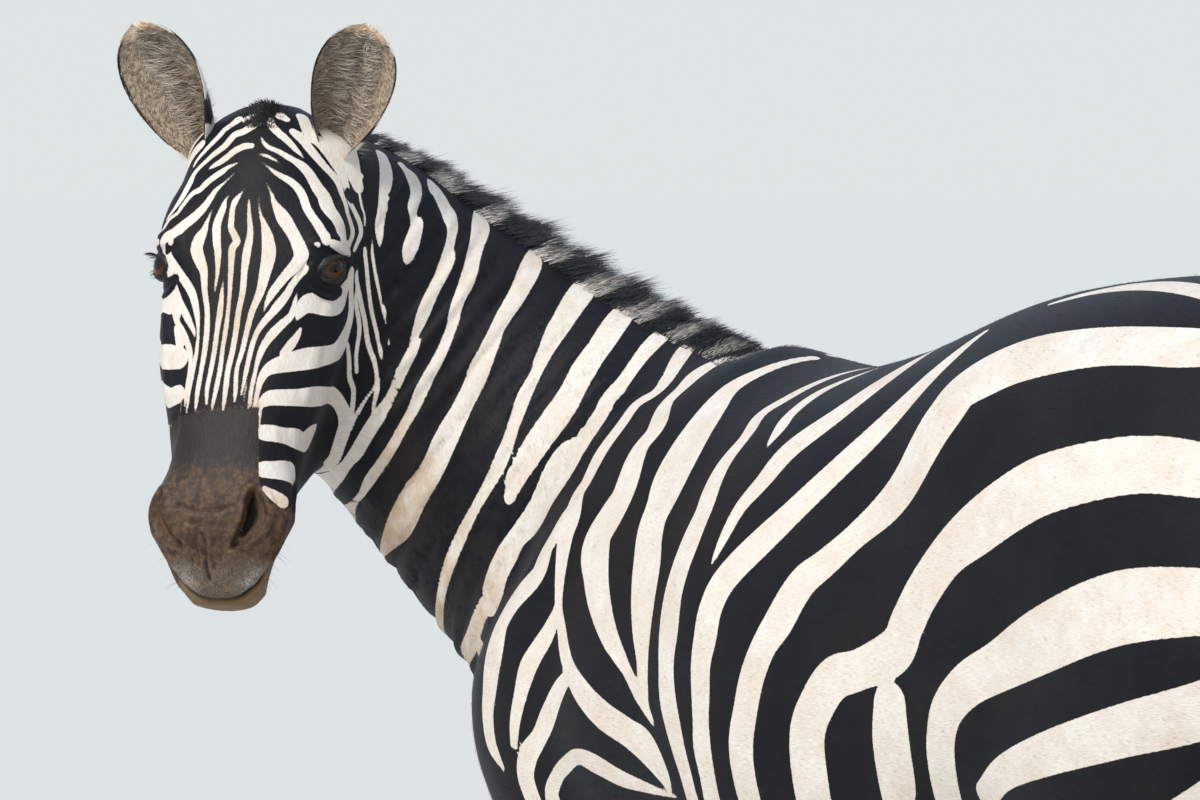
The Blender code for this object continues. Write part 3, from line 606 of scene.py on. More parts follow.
# Each stroke is white: the chart it is in, then points of station, degrees and half width in mm. A line that
# starts with spaces goes on with the stroke above it, and a stroke may go on in another chart.
BODY_WHITE = """
neck .945,27,4 .928,42,7 .915,55,5.5 .895,67,5.5 .88,77,5 .862,83,3 .85,86,1
neck .90,24,3 .874,28,5 .853,38,6 .844,47,6 .82,52.5,6.5 .80,66.7,8 .79,72,6 .783,75,2.5
neck .88,86,.5 .857,93,1.8 .8235,98.3,2 .797,101.5,2 .7665,104.6,2.2 .726,108.4,2.2 .692,113.6,1.6
neck .875,96,1 .87,98,2 .84,103,2.2 .808,108,2.2 .771,112.4,2.3 .73,115.6,2.4 .685,119.7,2.2 .657,122.6,1
neck .86,108,.6 .8445,112,2 .8026,115.6,2.5 .7685,118,2.5 .728,121.8,2.7 .682,124.1,2.7 .648,128.4,2.7
  .623,134.2,2.5 .60,141,1.5
neck .835,18,2 .815,23,5 .766,31,6.5 .7445,38.6,5.5 .7245,50,7 .713,61,7 .702,73,7 .687,84,7 .668,95,6
  .647,105,6 .6295,116,6 .61,127,6 .601,136.5,7 .5915,144,7 .582,150,7 .575,158.5,5
neck .715,9,3 .705,18,9 .69,33,8 .663,51,8 .651,61,7 .627,73,6.5 .612,82.3,6 .596,94.5,6.5 .575,110,7
  .56,120,6.5 .552,128,6 .542,136,6 .5325,145,6 .527,153,6 .52,162,4
neck .588,7,3 .578,18,10 .562,36,10 .548,52,8 .527,67,9 .507,81,11 .485,96,10 .468,111,12 .447,125,12
  .44,139,14 .43,152,15 .43,162,9 .43,172,4
neck .472,5,3 .463,12,11 .448,30,12 .425,46,8 .402,60,7 .362,79,7 .326,96,7 .313,114,6 .30,132,7 .287,150,6
  .276,163,5
neck .37,4,4 .362,12,11 .345,24,12 .328,36,12 .30,49,12 .288,62,13 .28,76,13 .268,90,10 .255,98,7
neck .262,3,4 .252,13,8 .225,27,7 .193,40,7 trunk -.435,26.5,7.5 -.442,33.5,9 -.454,39,14 -.47,46,12.5
  -.48,51.5,11 -.503,57,10 -.517,63,11 -.53,70,10.5 -.538,78,10.5 neck .15,128,9 .172,147,8 .195,161,6
neck .19,1,3 .165,12,7 trunk -.37,17,5 -.385,23,4.5 -.385,30,5.5 -.39,38,6 -.39,46,5.5 -.394,51,6.5
  -.377,57,7 -.377,62,7 -.37,67.5,6 -.36,74.5,4.5 -.352,79,4 -.34,82.5,4.5 -.327,86.5,5.5 -.31,89.7,6.5
  -.28,93.7,10 -.24,97.5,13 -.20,100.5,13 -.168,103.7,12 -.143,108.7,6 -.135,112,2
trunk -.355,79.5,4 -.362,86,7 -.374,91.5,8.5 -.384,96.5,9 -.391,103,7 -.398,109,5.5 -.40,113.5,4
trunk -.31,91,5 -.33,96.5,7 -.348,104,8.5 -.362,109.5,8.5 -.38,115,10 -.385,120,8 -.37,126,7
trunk -.398,52.5,1 -.40,56.5,4.5 -.401,61.5,6 -.408,67,7 -.408,74,8 -.437,80.5,9.5 -.45,87.5,9.5
  -.447,95,9.5 -.445,102,7.5 -.446,108,6 -.44,114,5 -.42,119,2
trunk -.125,113,3 -.183,111.5,6 -.22,110,8 -.26,108.3,9 -.29,108,8.5 -.318,111,8 -.338,115.5,7 -.35,121,7
  -.33,128,7
trunk -.33,3,3 -.335,11,7 -.33,17,6 -.33,23,6 -.31,30,7.6 -.315,36,8 -.302,46,10 -.306,52,12.5 -.315,59,12.8
  -.30,65.5,12.8 -.28,72,12 -.245,80,9.5 -.206,87,6 -.18,93,5 -.158,97.5,3 -.15,100,.5
trunk -.21,3,4 -.225,12,5 -.238,18,7 -.24,22,8.5 -.235,28,12 -.23,36,15 -.226,42,16 -.22,48,14 -.22,54.5,12
  -.211,60.5,12.5 -.20,66.5,13 -.192,73,11 -.185,79,8.8 -.178,84.7,6 -.173,90.5,5 -.16,97,1
trunk -.11,4,3 -.12,13,4 -.13,23,5 -.142,29,5 -.131,36,5.3 -.134,43.3,7 -.13,49.3,8 -.124,54.5,8.5
  -.127,61.5,10 -.131,67,10 -.133,72.7,10 -.13,80,10 -.129,86.5,8 -.125,93,8 -.116,98.7,7.5 -.108,104,6.5
  -.10,110.5,5.5 -.098,120,6 -.11,140,6 -.12,160,4
trunk -.05,14,2 -.08,22,5 -.085,31,5 -.078,36,4.5 -.074,42,.6
trunk .045,14,2 .035,22,8 .005,33,9 -.032,42,9 -.045,49.5,7 -.06,55.3,5.5 -.067,61.5,4.5 -.073,67,2
trunk .15,20,3 .135,28,7 .108,37.5,9 .06,48,10 .02,57,11 -.006,62.5,12 -.034,67.8,12 -.052,72,11.5
  -.061,76.7,11 -.063,81.8,11 -.067,87,9.7 -.067,92.8,9 -.068,98,8 -.069,103.5,8.3 -.067,109.5,7.6
  -.066,120,8 -.06,140,8 -.05,162,5
trunk .645,18,4 .60,24,8 .56,28,13 .50,32,19 .45,34,19 .40,35,19 .30,35.5,19 .25,37,18 .215,40,18 .205,45,18
  .172,55.5,14 .113,63,12 .08,69,13 .057,73,14 .038,80,14.5 .023,84,12.5 .008,90,12 -.003,97,11.7
  -.012,103,11.8 -.014,109.6,11 -.01,122,10 0,142,10 .01,163,6
trunk .22,15,3 .3,13,7 .4,15,8 .5,18,7 .58,20,4
trunk .70,50,8 .665,53,13 .63,56,19 .58,58,26 .50,59,28 .40,63.5,27 .35,66,26 .30,70.5,24 .26,74.5,19
  .225,81,17 .205,87,17 .19,92,20 .14,94,20 .11,94.5,20 .088,99,18 .075,104,17 .071,112,17 .07,122,16
  .075,142,13 .08,164,8
trunk .715,78,8 .69,82,15 .66,86,23 .61,88.5,31 .50,90,33 .40,96.5,29 .33,101,24 .29,103.5,21 .262,107,17
  .248,112,14 .238,120,13 .225,135,12 .21,160,8
trunk .72,101,8 .70,105,14 .68,108,19 .61,112.5,28 .50,114.8,24 .40,118.5,20 .33,121.5,16 .29,126,13
trunk .183,103,15 .18,110,17 .177,118,17 .17,125,14 .16,142,11 .155,162,6
trunk .70,122,9 .66,126,15 .60,130,17 .52,133,14 .46,136,10 .42,140,5
trunk -.52,104,8 -.505,116,9 -.48,130,8 -.45,145,5
trunk -.575,100,8 -.565,116,8 -.55,134,7 -.53,150,5
trunk -.20,118,5 -.215,128,8 -.22,142,8 -.22,160,4
trunk -.265,122,4 -.275,134,7 -.275,152,5
hind .83,25,4 .822,55,9 .82,85,8 .82,105,3
fore .80,30,3 .795,60,8 .78,95,8 .765,125,5
fore .775,-60,4 .77,-90,8 .765,-120,5
hind .76,150,10 .745,130,15 .74,110,15 .735,85,14 .74,60,13 .76,40,10
"""

# The head's left, in the same way; degrees are to its left.
HEAD_LEFT = """
head .098,1,.4 .108,2,1.4 .12,3,2 .14,5,3 .16,4.2,4 .18,3.8,3.2 .20,3.9,2.9 .22,2.4,2.7 .24,1.6,2.7
  .26,.4,2.6 .28,-1.7,2.6 .30,-2.2,2.5 .318,-2.7,1.6 .326,-2.8,.5
head .095,7.5,.3 .10,7.7,.6 .11,8.5,1 .12,10.2,1.6 .13,13,3 .14,15.2,5 .15,16.8,6.3 .16,17.7,6.8
  .17,17.4,6.3 .18,16.8,5.5 .20,15.2,4 .22,11.4,3 .24,9.3,2.6 .26,7.4,2.4 .28,4.8,2.1 .30,5.3,2.2
  .312,5.5,1.4
head .08,10,.4 .088,12.5,.9 .097,15.5,1.6 .105,17.5,2.7 .12,23.5,6.5 .13,27.5,6.2 .14,31.2,6 .15,34,6.6
  .16,35.8,7.2 .17,33.5,6 .18,29.6,4.8 .19,26,4.3 .20,22.7,3.9 .212,20,2 .222,18.5,.4
head .165,37,4 .172,39,3.4 .18,36.5,3.2 .19,33.5,3.2 .20,31.4,3.8 .21,28,4.4 .22,24.3,3.8 .23,20,3.2
  .24,16.4,2.6 .25,14.6,2.5 .26,13.3,2.5 .28,11.8,2.3 .29,11,1.8 .305,10,1.2
head .287,13.2,.5 .30,12.6,1.1 .315,12.3,.6
head .196,37,.5 .205,37,2 .22,35.9,3.2 .23,31.5,4 .24,26.8,4.4 .25,23,3.8 .26,20.4,3.2 .27,19,2.4
  .28,18.2,2.0 .30,16.9,2.2 .32,17,1.7 .335,17,.8
head .052,3,.6 .054,9,1.6 .058,15,1.2 .061,18,.4
head .061,6.5,.5 .067,11.5,1.3 .073,17,2.2 .077,22.5,3 .081,27,3.4 .087,31,3.8 .096,34,4 .106,36,4
  .115,38.8,4 .125,42.7,4.3 .135,45.5,4.8 .141,46.5,4.5
head .033,3.5,1 .039,6,1.8 .044,9.8,2.2 .0475,16,2.4 .052,22,2.7 .056,27.5,3 .060,32.3,4 .067,37,4.6
  .0745,40,5 .083,43,5.6 .0905,46,6 .1005,47.5,6.3 .107,50,5.6 .112,53,5 .119,56,4.6 .127,58,4.5 .134,59,5
head .012,8,3.5 .018,9.5,3.6 .026,15,3.6 .031,19.5,3.3 .037,24,3 .043,28,2.3 .048,31.5,1.3 .052,34,.4
head .022,25,3 .026,29,4 .032,33.5,4 .039,37.5,4 .046,42,3.7 .053,47,3.2 .059,52,3 .064,56,3 .071,58.5,2.6
  .080,59.5,2 .091,62,1.8 .099,63,1.8 .107,66.5,2 .115,70,2 .128,68.5,2 .138,66,3
head .142,50,4 .142,56,5 .138,62,5 .132,66,4
head .004,15,3.5 .008,20,2.5
"""

# The head's right, which isn't the same as its left; these degrees are to its left too.
HEAD_RIGHT = """
head .091,-2,.4 .097,-4,1.2 .105,-7,2.6 .113,-8,2.5 .124,-8,2.8 .134,-7.5,3 .142,-4.8,3.3 .149,-3,3.6
  .156,-5.2,3.4 .167,-5.2,3 .18,-4.9,2.6 .20,-4.7,2.1 .22,-4.8,2 .24,-5.7,2.3 .26,-7,2.1 .28,-7.7,2.3
  .30,-9.5,2.2 .315,-11,1.6 .325,-11.7,.6
head .186,-9.5,.3 .20,-9.8,1.7 .22,-10.3,2.8 .24,-11.6,2.4 .26,-12.7,2.4 .28,-14.4,2.2 .30,-16.4,2.1
  .315,-16,1.3
head .096,-11,.4 .104,-13.5,1.4 .113,-14.5,3 .122,-16,3.5 .131,-17,3.9 .14,-16.5,4 .15,-15.6,3.8
  .16,-14.3,3.3 .171,-13.8,2.6 .182,-13.6,1.9 .195,-14.4,1.3 .204,-14.8,.4
head .110,-21,.4 .118,-22.3,1 .128,-24,2 .136,-25,3.4 .143,-27,5 .153,-28.3,5.8 .161,-27.3,5.8 .17,-25,5.2
  .18,-22.7,3.8 .20,-21.4,2.8 .22,-19.2,2.6 .24,-18.9,2.7 .26,-19.8,2.6 .28,-21.6,2.2 .30,-23.5,2.3
  .315,-24.3,1.6 .326,-24.5,.4
head .063,-5,.3 .070,-8.2,.6 .077,-12,.8 .0854,-17,1.2 .0915,-21,2 .098,-23.3,2.6 .1065,-26,3.2
  .1135,-29,3.8 .121,-33,4.2 .127,-37,4.5 .1335,-40.5,5 .139,-43.5,5.3 .1445,-46.5,5.2 .152,-47,5
  .161,-45.5,4.5 .17,-42.5,4.6 .18,-38.4,4.2 .20,-30.5,4 .22,-26.6,2.9 .24,-25,1.6 .26,-25.7,1.9 .28,-27.8,2
  .30,-30.5,1.9 .322,-32,1
head .162,-46,2.5 .18,-45,2.8 .19,-43.5,3 .20,-41.4,3.1 .21,-38.5,3.1 .22,-35,3.6 .23,-31.5,3 .24,-28.2,1.9
  .247,-27.4,.4
head .175,-48,1.5 .19,-47,1.4 .20,-46.2,1.2 .21,-45.5,1.7 .22,-44,2.2 .23,-40.5,2.8 .24,-36.5,3.3
  .25,-33.2,2.9 .26,-30.8,2.6 .27,-30,2.2 .28,-30.4,2 .30,-33,1.6 .315,-34,1
head .063,-10,1 .067,-15.5,1.8 .0716,-19.5,2.7 .076,-24,2.9 .082,-29,3 .0885,-32.5,2.8 .092,-37,2.5
  .098,-39.5,2.3 .1055,-41.5,2 .113,-43.5,1.7 .118,-48,1.8 .125,-51,2 .133,-54,2 .14,-55,2
head .043,-2,2.5 .0435,-7,3 .047,-12,3 .0503,-14.8,3 .0553,-18.3,3 .0597,-22.5,2.8 .063,-27,2 .0665,-31,.5
head .016,-1,3 .0215,-6,3.3 .0257,-10.5,3.3 .0285,-16,3.3 .033,-18.5,3.3 .0405,-21.7,3.3 .0455,-26,3
  .0505,-31,2.8 .0555,-35,2.5 .061,-39.5,2.5 .0685,-43,3 .079,-43,3.6 .09,-43.7,3.2 .0985,-45,2.8 .108,-47,2
  .117,-51,1.2
head .01,-18,4 .015,-22,3 .020,-27,3 .026,-29.5,3 .033,-33.7,2.8 .039,-37.5,2.5 .045,-41.5,2.2 .05,-45,2
  .056,-47,1.5
head .003,-3,1 .007,-8,2.5 .011,-12,2.5
head .142,-52,3 .138,-60,4 .13,-66,4 .125,-72,3
head .30,-37,.3 .312,-37.5,.7 .326,-38,.4
"""

# Cheeks: the same on both sides, but for a few millimetres.
CHEEK = """
head 0,33,4 .02,37,5 .03,46,5 .045,55,5 .055,60,4 .065,63.5,3 .075,65,2.4 .085,66.5,2 .093,71,2 .10,75,2
  .11,77.5,2 .12,76.5,1.8 .13,75,1.5
head .004,52,6 .018,60,9 .034,65,9 .05,69,7 .062,73,5
head .05,75,2 .06,73,1.5 .07,74.5,1.2 .08,76,1.2 .09,78.5,1 .10,79.5,1
head .224,39.5,1 .216,41,4.5 .207,43.5,8 .203,48,10 .201,56,10 .197,63,10 .188,70,7 .175,73,4 .162,76,2
  .15,76,1.5
head .232,43,1.6 .24,41.5,3.2 .25,38.5,4.4 .26,35,4
head .334,20.7,1.8 .32,20.5,2 .31,21,2.2 .30,21.5,2.5 .29,22.5,3.4 .28,25.5,4.8 .274,30.5,7 .268,39,9
  .26,50,10.5 .252,61,9.5 .241,73,8 .228,81,5.5 .207,84.5,3 .19,84,2.5 .17,80,2.2 .15,77,2
head .337,25,1.7 .325,24.7,2.2 .316,24.6,3 .310,27.5,5.5 .306,31.5,7.4 .303,41,8 .299,51.5,8.3 .292,64,9.5
  .284,78,9 .272,98,7.5 .272,112,7 .282,122,6.5 .30,132,6 .31,142,5 .318,152,4 .325,170,3
head .342,25,5 .342,30,7.5 .341,38,8 .340,46,8 .338,58,9 .336,68,9 .327,80,7 .315,90,4
head .381,29,6 .380,34,8 .378,42,8.5 .375,52,9 .373,60,8
head .402,35,3 .407,41,5.5 .411,47,6
head .222,90,1.5 .232,96,2 .247,104,2.2 .26,113,2.4 .28,124,2.4 .30,133,2.4 .315,142,2.4
head .162,83,.5 .18,86.5,1.8 .20,93.5,2 .225,99,1.8 .24,105,1.8 .262,117,1.6 .283,126,1.2
"""

# The far cheek's own arcs, from behind the eye and ear towards the throat.
FAR_CHEEK = """
head .030,84,3 .036,94,6 .046,106,9 .060,118,9 .078,131,8 .100,144,7 .125,156,4
head .068,84,3 .078,95,6 .092,107,9 .110,119,9 .130,132,8 .155,145,7 .182,157,4
head .108,85,3 .122,96,6 .140,107,9 .160,119,9 .182,131,8 .206,143,7 .232,154,4
head .148,90,3 .166,100,6 .188,110,8 .210,121,8 .234,132,6 .256,143,4
head .180,86,2 .198,94,4 .216,103,5 .236,113,5 .258,123,4 .276,133,2
"""

# Black over the white: the middle of the back, the eyelids and what is dark round them. The crescent by
# each eye is partly dark skin and partly painted shade cast by its lid.
BOTH_BLACK = """
trunk -.46,0,4 -.38,0,5 -.25,0,5 -.1,0,5 0,0,5 .15,0,6 .3,0,8 .45,0,10 .60,0,8 .70,5,5
trunk -.44,180,8 -.30,180,9 -.10,180,10 .10,180,9 .25,180,8
head .148,43,3.2 .151,44.5,4.2 .154,46,3
head .183,42,4 .187,47,6.5 .188,54,7.5 .185,62,6.5 .178,69,4
head .072,65.5,2.2 .077,66.5,4 .081,67,2.2
"""
SPOTS = """
head .146,42,1.6 .1465,43,2.2
"""


class Surface:
    """The skin's shape for casting rays from inside it."""

    def __init__(self, mesh):
        self.tree = BVHTree.FromPolygons(
            [v.co.copy() for v in mesh.vertices], [tuple(p.vertices) for p in mesh.polygons]
        )

    def out(self, origin, way):
        """Where a ray from inside leaves the body, and the direction out of the skin there."""
        place, normal, _, _ = self.tree.ray_cast(origin, way)
        if place is None:
            return origin + way * MISSED, way
        return place, normal if normal.dot(way) > 0 else -normal

    def near(self, place):
        return self.tree.find_nearest(place)[:2]


def ray_of(chart, station, degrees, side):
    """The ray for a station along a part and for degrees round it, to the left where side is 1."""
    turn = math.radians(degrees)
    across, along = math.sin(turn) * side, math.cos(turn)
    if chart == "trunk":  # station is Y, and 0 degrees is the spine
        ys, levels = zip(*TRUNK_LEVELS)
        return Vector((0, station, float(np.interp(station, ys, levels)))), Vector((across, 0, along))
    if chart == "neck":  # station is the share of its length, and 0 degrees is the crest
        at = station * NECK_CURVE_STEPS
        i = int(min(max(math.floor(at), 0), NECK_CURVE_STEPS - 1))
        one, two = FRAMES[i], FRAMES[i + 1]
        place, left, up = (a.lerp(b, at - i) for a, b in zip(one[:3], two[:3]))
        return place, (left * across + up * along).normalized()
    if chart == "head":  # station is the distance down the face, and 0 degrees is its middle line
        axes = head_axes()
        return axes @ Vector((0, station, HEAD_LEVEL)), axes.to_3x3() @ Vector((across, 0, along))
    rows = np.array(FORE_LEG if chart == "fore" else HIND_LEG)[::-1]  # station is the height, 0 is the front
    x, y = (float(np.interp(station, rows[:, 0], rows[:, i])) for i in (1, 2))
    return Vector((x * side, y, station)), Vector((across, -along, 0))


def lines_of(block):
    """The strokes of a block of text, each on one line."""
    return block.strip().replace("\n ", " ").splitlines()


def stroke_rows(line):
    """(chart, station, degrees, half width) for each point of a line of text."""
    chart, rows = "", []
    for word in line.split():
        if "," in word:
            rows.append((chart, *(float(number) for number in word.split(","))))
        else:
            chart = word
    return rows


def seen_share(places, normals):
    """How much of a stroke's width shows from behind on the left, for each of its points."""
    along = unit(np.gradient(places, axis=0))
    facing = np.abs(normals @ np.array(SEEN_FROM))
    share = facing / np.sqrt(np.maximum(1 - (along @ np.array(SEEN_FROM)) ** 2, 0.05))
    return np.clip(share, 0.5, 1.0)


def stroke_samples(surface, rows, side, warp=0.0, seen=True):
    """Points, half widths and outward directions along a stroke, or None. warp moves it along its chart.

    Where seen is set, the half widths are those that show from behind on the left, or their mirror's.
    """
    on_head = rows[0][0] == "head"
    knots, normals = [], []
    for i, (chart, station, degrees, half) in enumerate(rows):
        shift = warp * math.sin(2.3 * i + 40 * station)
        origin, way = ray_of(chart, station + shift, degrees * (1 + shift * 1.5), side)
        place, normal = surface.out(origin, way)
        if (place - origin).length < REACH.get(chart, 1.0):
            knots.append((*place, half / 1000))
            normals.append(normal)
    if len(knots) < 2:
        return None
    knots = np.array(knots)
    if seen:
        flip = np.ones(3) if on_head else np.array((side, 1, 1))
        share = seen_share(knots[:, :3] * flip, np.array(normals) * flip)
        share = np.maximum(share, FAR_FACE) if on_head and rows[0][2] < 0 else share
        knots[:, 3] = knots[:, 3] / (FAR_SIDE if on_head and side == -1 else share) + HEAD_MORE * on_head
    length = np.linalg.norm(np.diff(knots[:, :3], axis=0), axis=1).sum()
    step = max(0.0010, 0.35 * float(np.median(knots[:, 3])))
    fine = smooth_rows(knots, max(2, round(length / step / (len(knots) - 1))))
    found = [surface.near(Vector(row[:3])) for row in fine]
    places = np.array([f[0] for f in found])
    return places, np.maximum(fine[:, 3], 0.00005), np.array([f[1] for f in found])


def gap_to(points, normals, samples, reach):
    """How far each point is outside the stroke; negative inside it."""
    places, half_widths, outs = samples
    gap = np.full(len(points), PLAIN)
    low, high = places.min(0) - reach, places.max(0) + reach
    near = np.flatnonzero(((points > low) & (points < high)).all(1))
    for start in range(0, len(near), 4000):
        some = near[start : start + 4000]
        off = points[some, None, :] - places[None]
        away = np.sqrt((off**2).sum(2)) - half_widths[None]
        away[normals[some] @ outs.T < -0.1] = PLAIN
        gap[some] = away.min(1)
    return np.minimum(gap, PLAIN)


def joined_gaps(a, b, soft):
    """The smaller of two distances, rounded where they meet."""
    h = np.clip(0.5 + 0.5 * (b - a) / soft, 0, 1)
    return b * (1 - h) + a * h - soft * h * (1 - h)


def leg_rings():
    """Rings round the legs, closer and thinner towards the hooves, broken here and there at the inside."""
    rings = []
    for chart, top, foot in (("fore", 0.735, 0.125), ("hind", 0.690, 0.125)):
        height, i = top, 0
        while height > foot:
            share = (height - foot) / (top - foot)
            half = 6.0 + 6.5 * share
            slant = 0.020 * share + 0.006 * math.sin(i * 2.1)
            turn = 100 if i % 3 == 1 else 178
            rows = []
            for degrees in range(-178, turn + 1, 26):
                rise = slant * math.cos(math.radians(degrees)) + 0.004 * math.sin(i * 1.7 + degrees / 31)
                wide = half * (0.92 + 0.22 * math.sin(i * 3.1 + degrees / 40))
                rows.append((chart, height - rise, degrees, wide))
            rings.append(rows)
            height -= 0.027 + 0.026 * share
            i += 1
    return rings


def all_strokes(surface):
    """(samples, is it white, is it on the head) for every stroke, in the order they are laid."""
    laid = []
    for block, sides, white, warp in (
        (BODY_WHITE, (1, -1), True, 0.010),
        (CHEEK, (1, -1), True, 0.0025),
        (FAR_CHEEK, (-1,), True, 0),
        (HEAD_LEFT, (1,), True, 0),
        (HEAD_RIGHT, (1,), True, 0),
        (BOTH_BLACK, (1, -1), False, 0),
        (SPOTS, (1, -1), True, 0),
    ):
        for line in lines_of(block):
            for side in sides:
                rows = stroke_rows(line)
                last = rows[-1]
                if block is BODY_WHITE and last[0] == "neck" and last[2] > 120:  # it meets its twin
                    rows = rows + [("neck", last[1] - 0.004, 181, max(last[3], 5.0))]
                if block is CHEEK and side == -1:  # the face's own strokes go on from there
                    rows = [row for row in rows if row[2] > 38]
                samples = stroke_samples(surface, rows, side, 0 if side == 1 else warp)
                laid.append((samples, white, rows[0][0] == "head"))
    for rows in leg_rings():
        for side in (1, -1):
            samples = stroke_samples(surface, rows, side, 0 if side == 1 else 0.006, False)
            laid.append((samples, True, False))
    return [row for row in laid if row[0] is not None]


def white_at(points, normals, laid):
    """How far each point is outside the white; negative in it."""
    white = np.full(len(points), PLAIN)
    for samples, is_white, on_head in laid:
        gap = gap_to(points, normals, samples, FINE_REACH if on_head else BROAD_REACH)
        if is_white:
            white = joined_gaps(white, gap, 0.0008 if on_head else 0.003)
        else:
            white = np.maximum(white, -gap)
    return white


# ---- the head's finer forms
# Each line: millimetres out (or in, where negative), millimetres over which that fades, how dark the
# painted shade in its groove is (below 0, how warm its wall is), and then a stroke.
HEAD_FORMS = """
2.6 7 0 head .402,25,3 .416,22,4 .435,21,4 .45,18,3
2.4 7 0 head .40,30,3 .415,37,4 .432,39,4 .446,35,4 .458,26,3
2.6 7 0 head .402,-43,3 .416,-40,4 .435,-39,4 .45,-37,3
2.4 7 0 head .40,-50,3 .415,-58,4 .432,-61,4 .446,-56,4 .458,-45,3
-7 5 -1 head .407,27.5,2 .416,29,5 .428,31,8 .44,29,7 .449,25,4.5 .458,19,1.5
-9 4 1 head .409,26,1.2 .418,26,3 .428,26.5,4 .438,25.5,3.4 .447,22.5,2
-7 5 -1 head .407,-46,2 .416,-49,5 .428,-51,8 .44,-49,7 .449,-44,4.5 .458,-37,1.5
-9 4 1 head .409,-45,1.2 .418,-46,3 .428,-47,4 .438,-45,3.4 .447,-42,2
-9 21 0 head .398,72,5 .42,70,9 .445,76,9 .47,80,6
-3 18 0 head .42,-84,7 .445,-88,7
-2.0 3.6 .55 head .450,-12,.4 .462,-10,.9 .476,-11.5,.9 .490,-9.5,.4
-1.7 3.4 .45 head .444,-17,.3 .456,-19.5,.8 .468,-18.5,.7 .478,-20,.3
-1.7 3.4 .45 head .447,-4,.3 .458,-2,.8 .470,-3.5,.8 .481,-1.5,.3
-1.2 3.2 .35 head .453,5,.3 .463,7,.6 .473,6,.3
-1.2 3.2 .35 head .455,-27,.3 .466,-27,.6 .474,-25,.3
-1.6 4.0 .35 head .421,-30,.4 .426,-20,.8 .4275,-8,.7 .426,4,.8 .421,13,.4
-1.2 4.0 .25 head .437,-26,.4 .441,-14,.7 .440,-2,.5
-1.2 3.2 .35 head .464,-36,.3 .459,-28,.6 .463,-21,.3
-1.2 3.2 .35 head .463,13,.3 .458,20,.6 .463,27,.3
"""
BOTH_SIDES_FORMS = """
3.0 9 0 head .142,42,3 .139,52,4 .139,62,4 .144,71,3
-1.6 3 0 head .163,40.5,.6 .172,38.5,.8 .18,37,.5
-1.4 3 0 head .183,44,.6 .188,52,.8 .186,62,.8 .178,70,.5
-0.8 3 0 head .193,44,.5 .198,53,.7 .195,63,.5
1.2 3 0 head .189,45,.6 .193,53,.8 .191,62,.6
1.8 10 0 head .205,60,2 .24,57,2 .27,56,2 .295,57,1
-1.6 9 0 head .33,44,3 .345,50,4 .36,58,3
-1.0 3 0 head .405,62,.6 .40,76,.8 .39,90,.6
"""
MOUTH = (  # distance down the face and level of its line
    (0.400, -0.060),
    (0.440, -0.053),
    (0.480, -0.050),
    (0.495, -0.054),
    (0.505, -0.060),
    (0.530, -0.064),
)
MOUTH_BACK = 0.425  # where its corner is
# distance out of the mouth's line, half of its reach, and how far the skin moves out: the slit and both lips
LIPS = ((0.0, 0.0019, -0.0060), (0.006, 0.0040, 0.0022), (-0.007, 0.0045, 0.0014))
FORM_REACH = 0.022  # how far round a stroke of a form its distances are worked out
FOLD_HEIGHT = 0.0017  # of the wavy folds round the neck


def mouth_level(nose):
    noses, levels = zip(*MOUTH)
    return np.interp(nose, noses, levels)


def formed(points, normals, surface):
    """How far each point moves out, and the painted shade of its crease, or below 0 how warm its wall."""
    moved, shade = np.zeros(len(points)), np.zeros(len(points))
    near = np.flatnonzero(head_share(points) > 0.3)
    some, ways = points[near], normals[near]
    total, dark, warm = np.zeros(len(near)), np.zeros(len(near)), np.zeros(len(near))
    for block, sides in ((HEAD_FORMS, (1,)), (BOTH_SIDES_FORMS, (1, -1))):
        for line in lines_of(block):
            out, fade, depth = (float(word) for word in line.split()[:3])
            for side in sides:
                samples = stroke_samples(surface, stroke_rows(line.split(None, 3)[3]), side, 0, False)
                gap = gap_to(some, ways, samples, FORM_REACH)
                total += out / 1000 * (1 - smoothstep(gap, 0, fade / 1000))
                # painted shade darkens the grooves whose depth is over 0: the nostrils' holes and the
                # muzzle's wrinkles
                if depth > 0:
                    dark = np.maximum(dark, (1 - smoothstep(gap, -0.0004, 0.0016)) * depth)
                elif depth < 0:
                    warm = np.maximum(warm, 1 - smoothstep(gap, -0.0045, 0.0005))
    local = in_head(some)
    off = local[:, 2] - mouth_level(local[:, 1])
    on_mouth = smoothstep(local[:, 1], MOUTH_BACK, MOUTH_BACK + 0.012)
    for middle, reach, height in LIPS:
        total += height * on_mouth * np.exp(-(((off - middle) / reach) ** 2))
    # painted shade along the slit of the mouth
    dark = np.maximum(dark, on_mouth * np.exp(-((off / 0.0016) ** 2)))
    moved[near] = total
    shade[near] = np.where(dark > 0.05, dark, -warm)
    own = in_neck(points)
    on_neck = smoothstep(own[:, 0], 0.05, 0.2) * smoothstep(own[:, 0], 0.97, 0.85) * (1 - head_share(points))
    on_neck = on_neck * (points[:, 1] < -0.25)
    turn = np.arctan2(own[:, 1], own[:, 2])
    folds = np.sin(own[:, 0] * 118 + 1.6 * np.sin(turn * 1.7 + own[:, 0] * 7))
    folds = folds + 0.6 * np.sin(own[:, 0] * 231 + turn * 2)
    return moved + FOLD_HEIGHT * folds * on_neck * smoothstep(np.abs(turn), 0.25, 0.7), shade


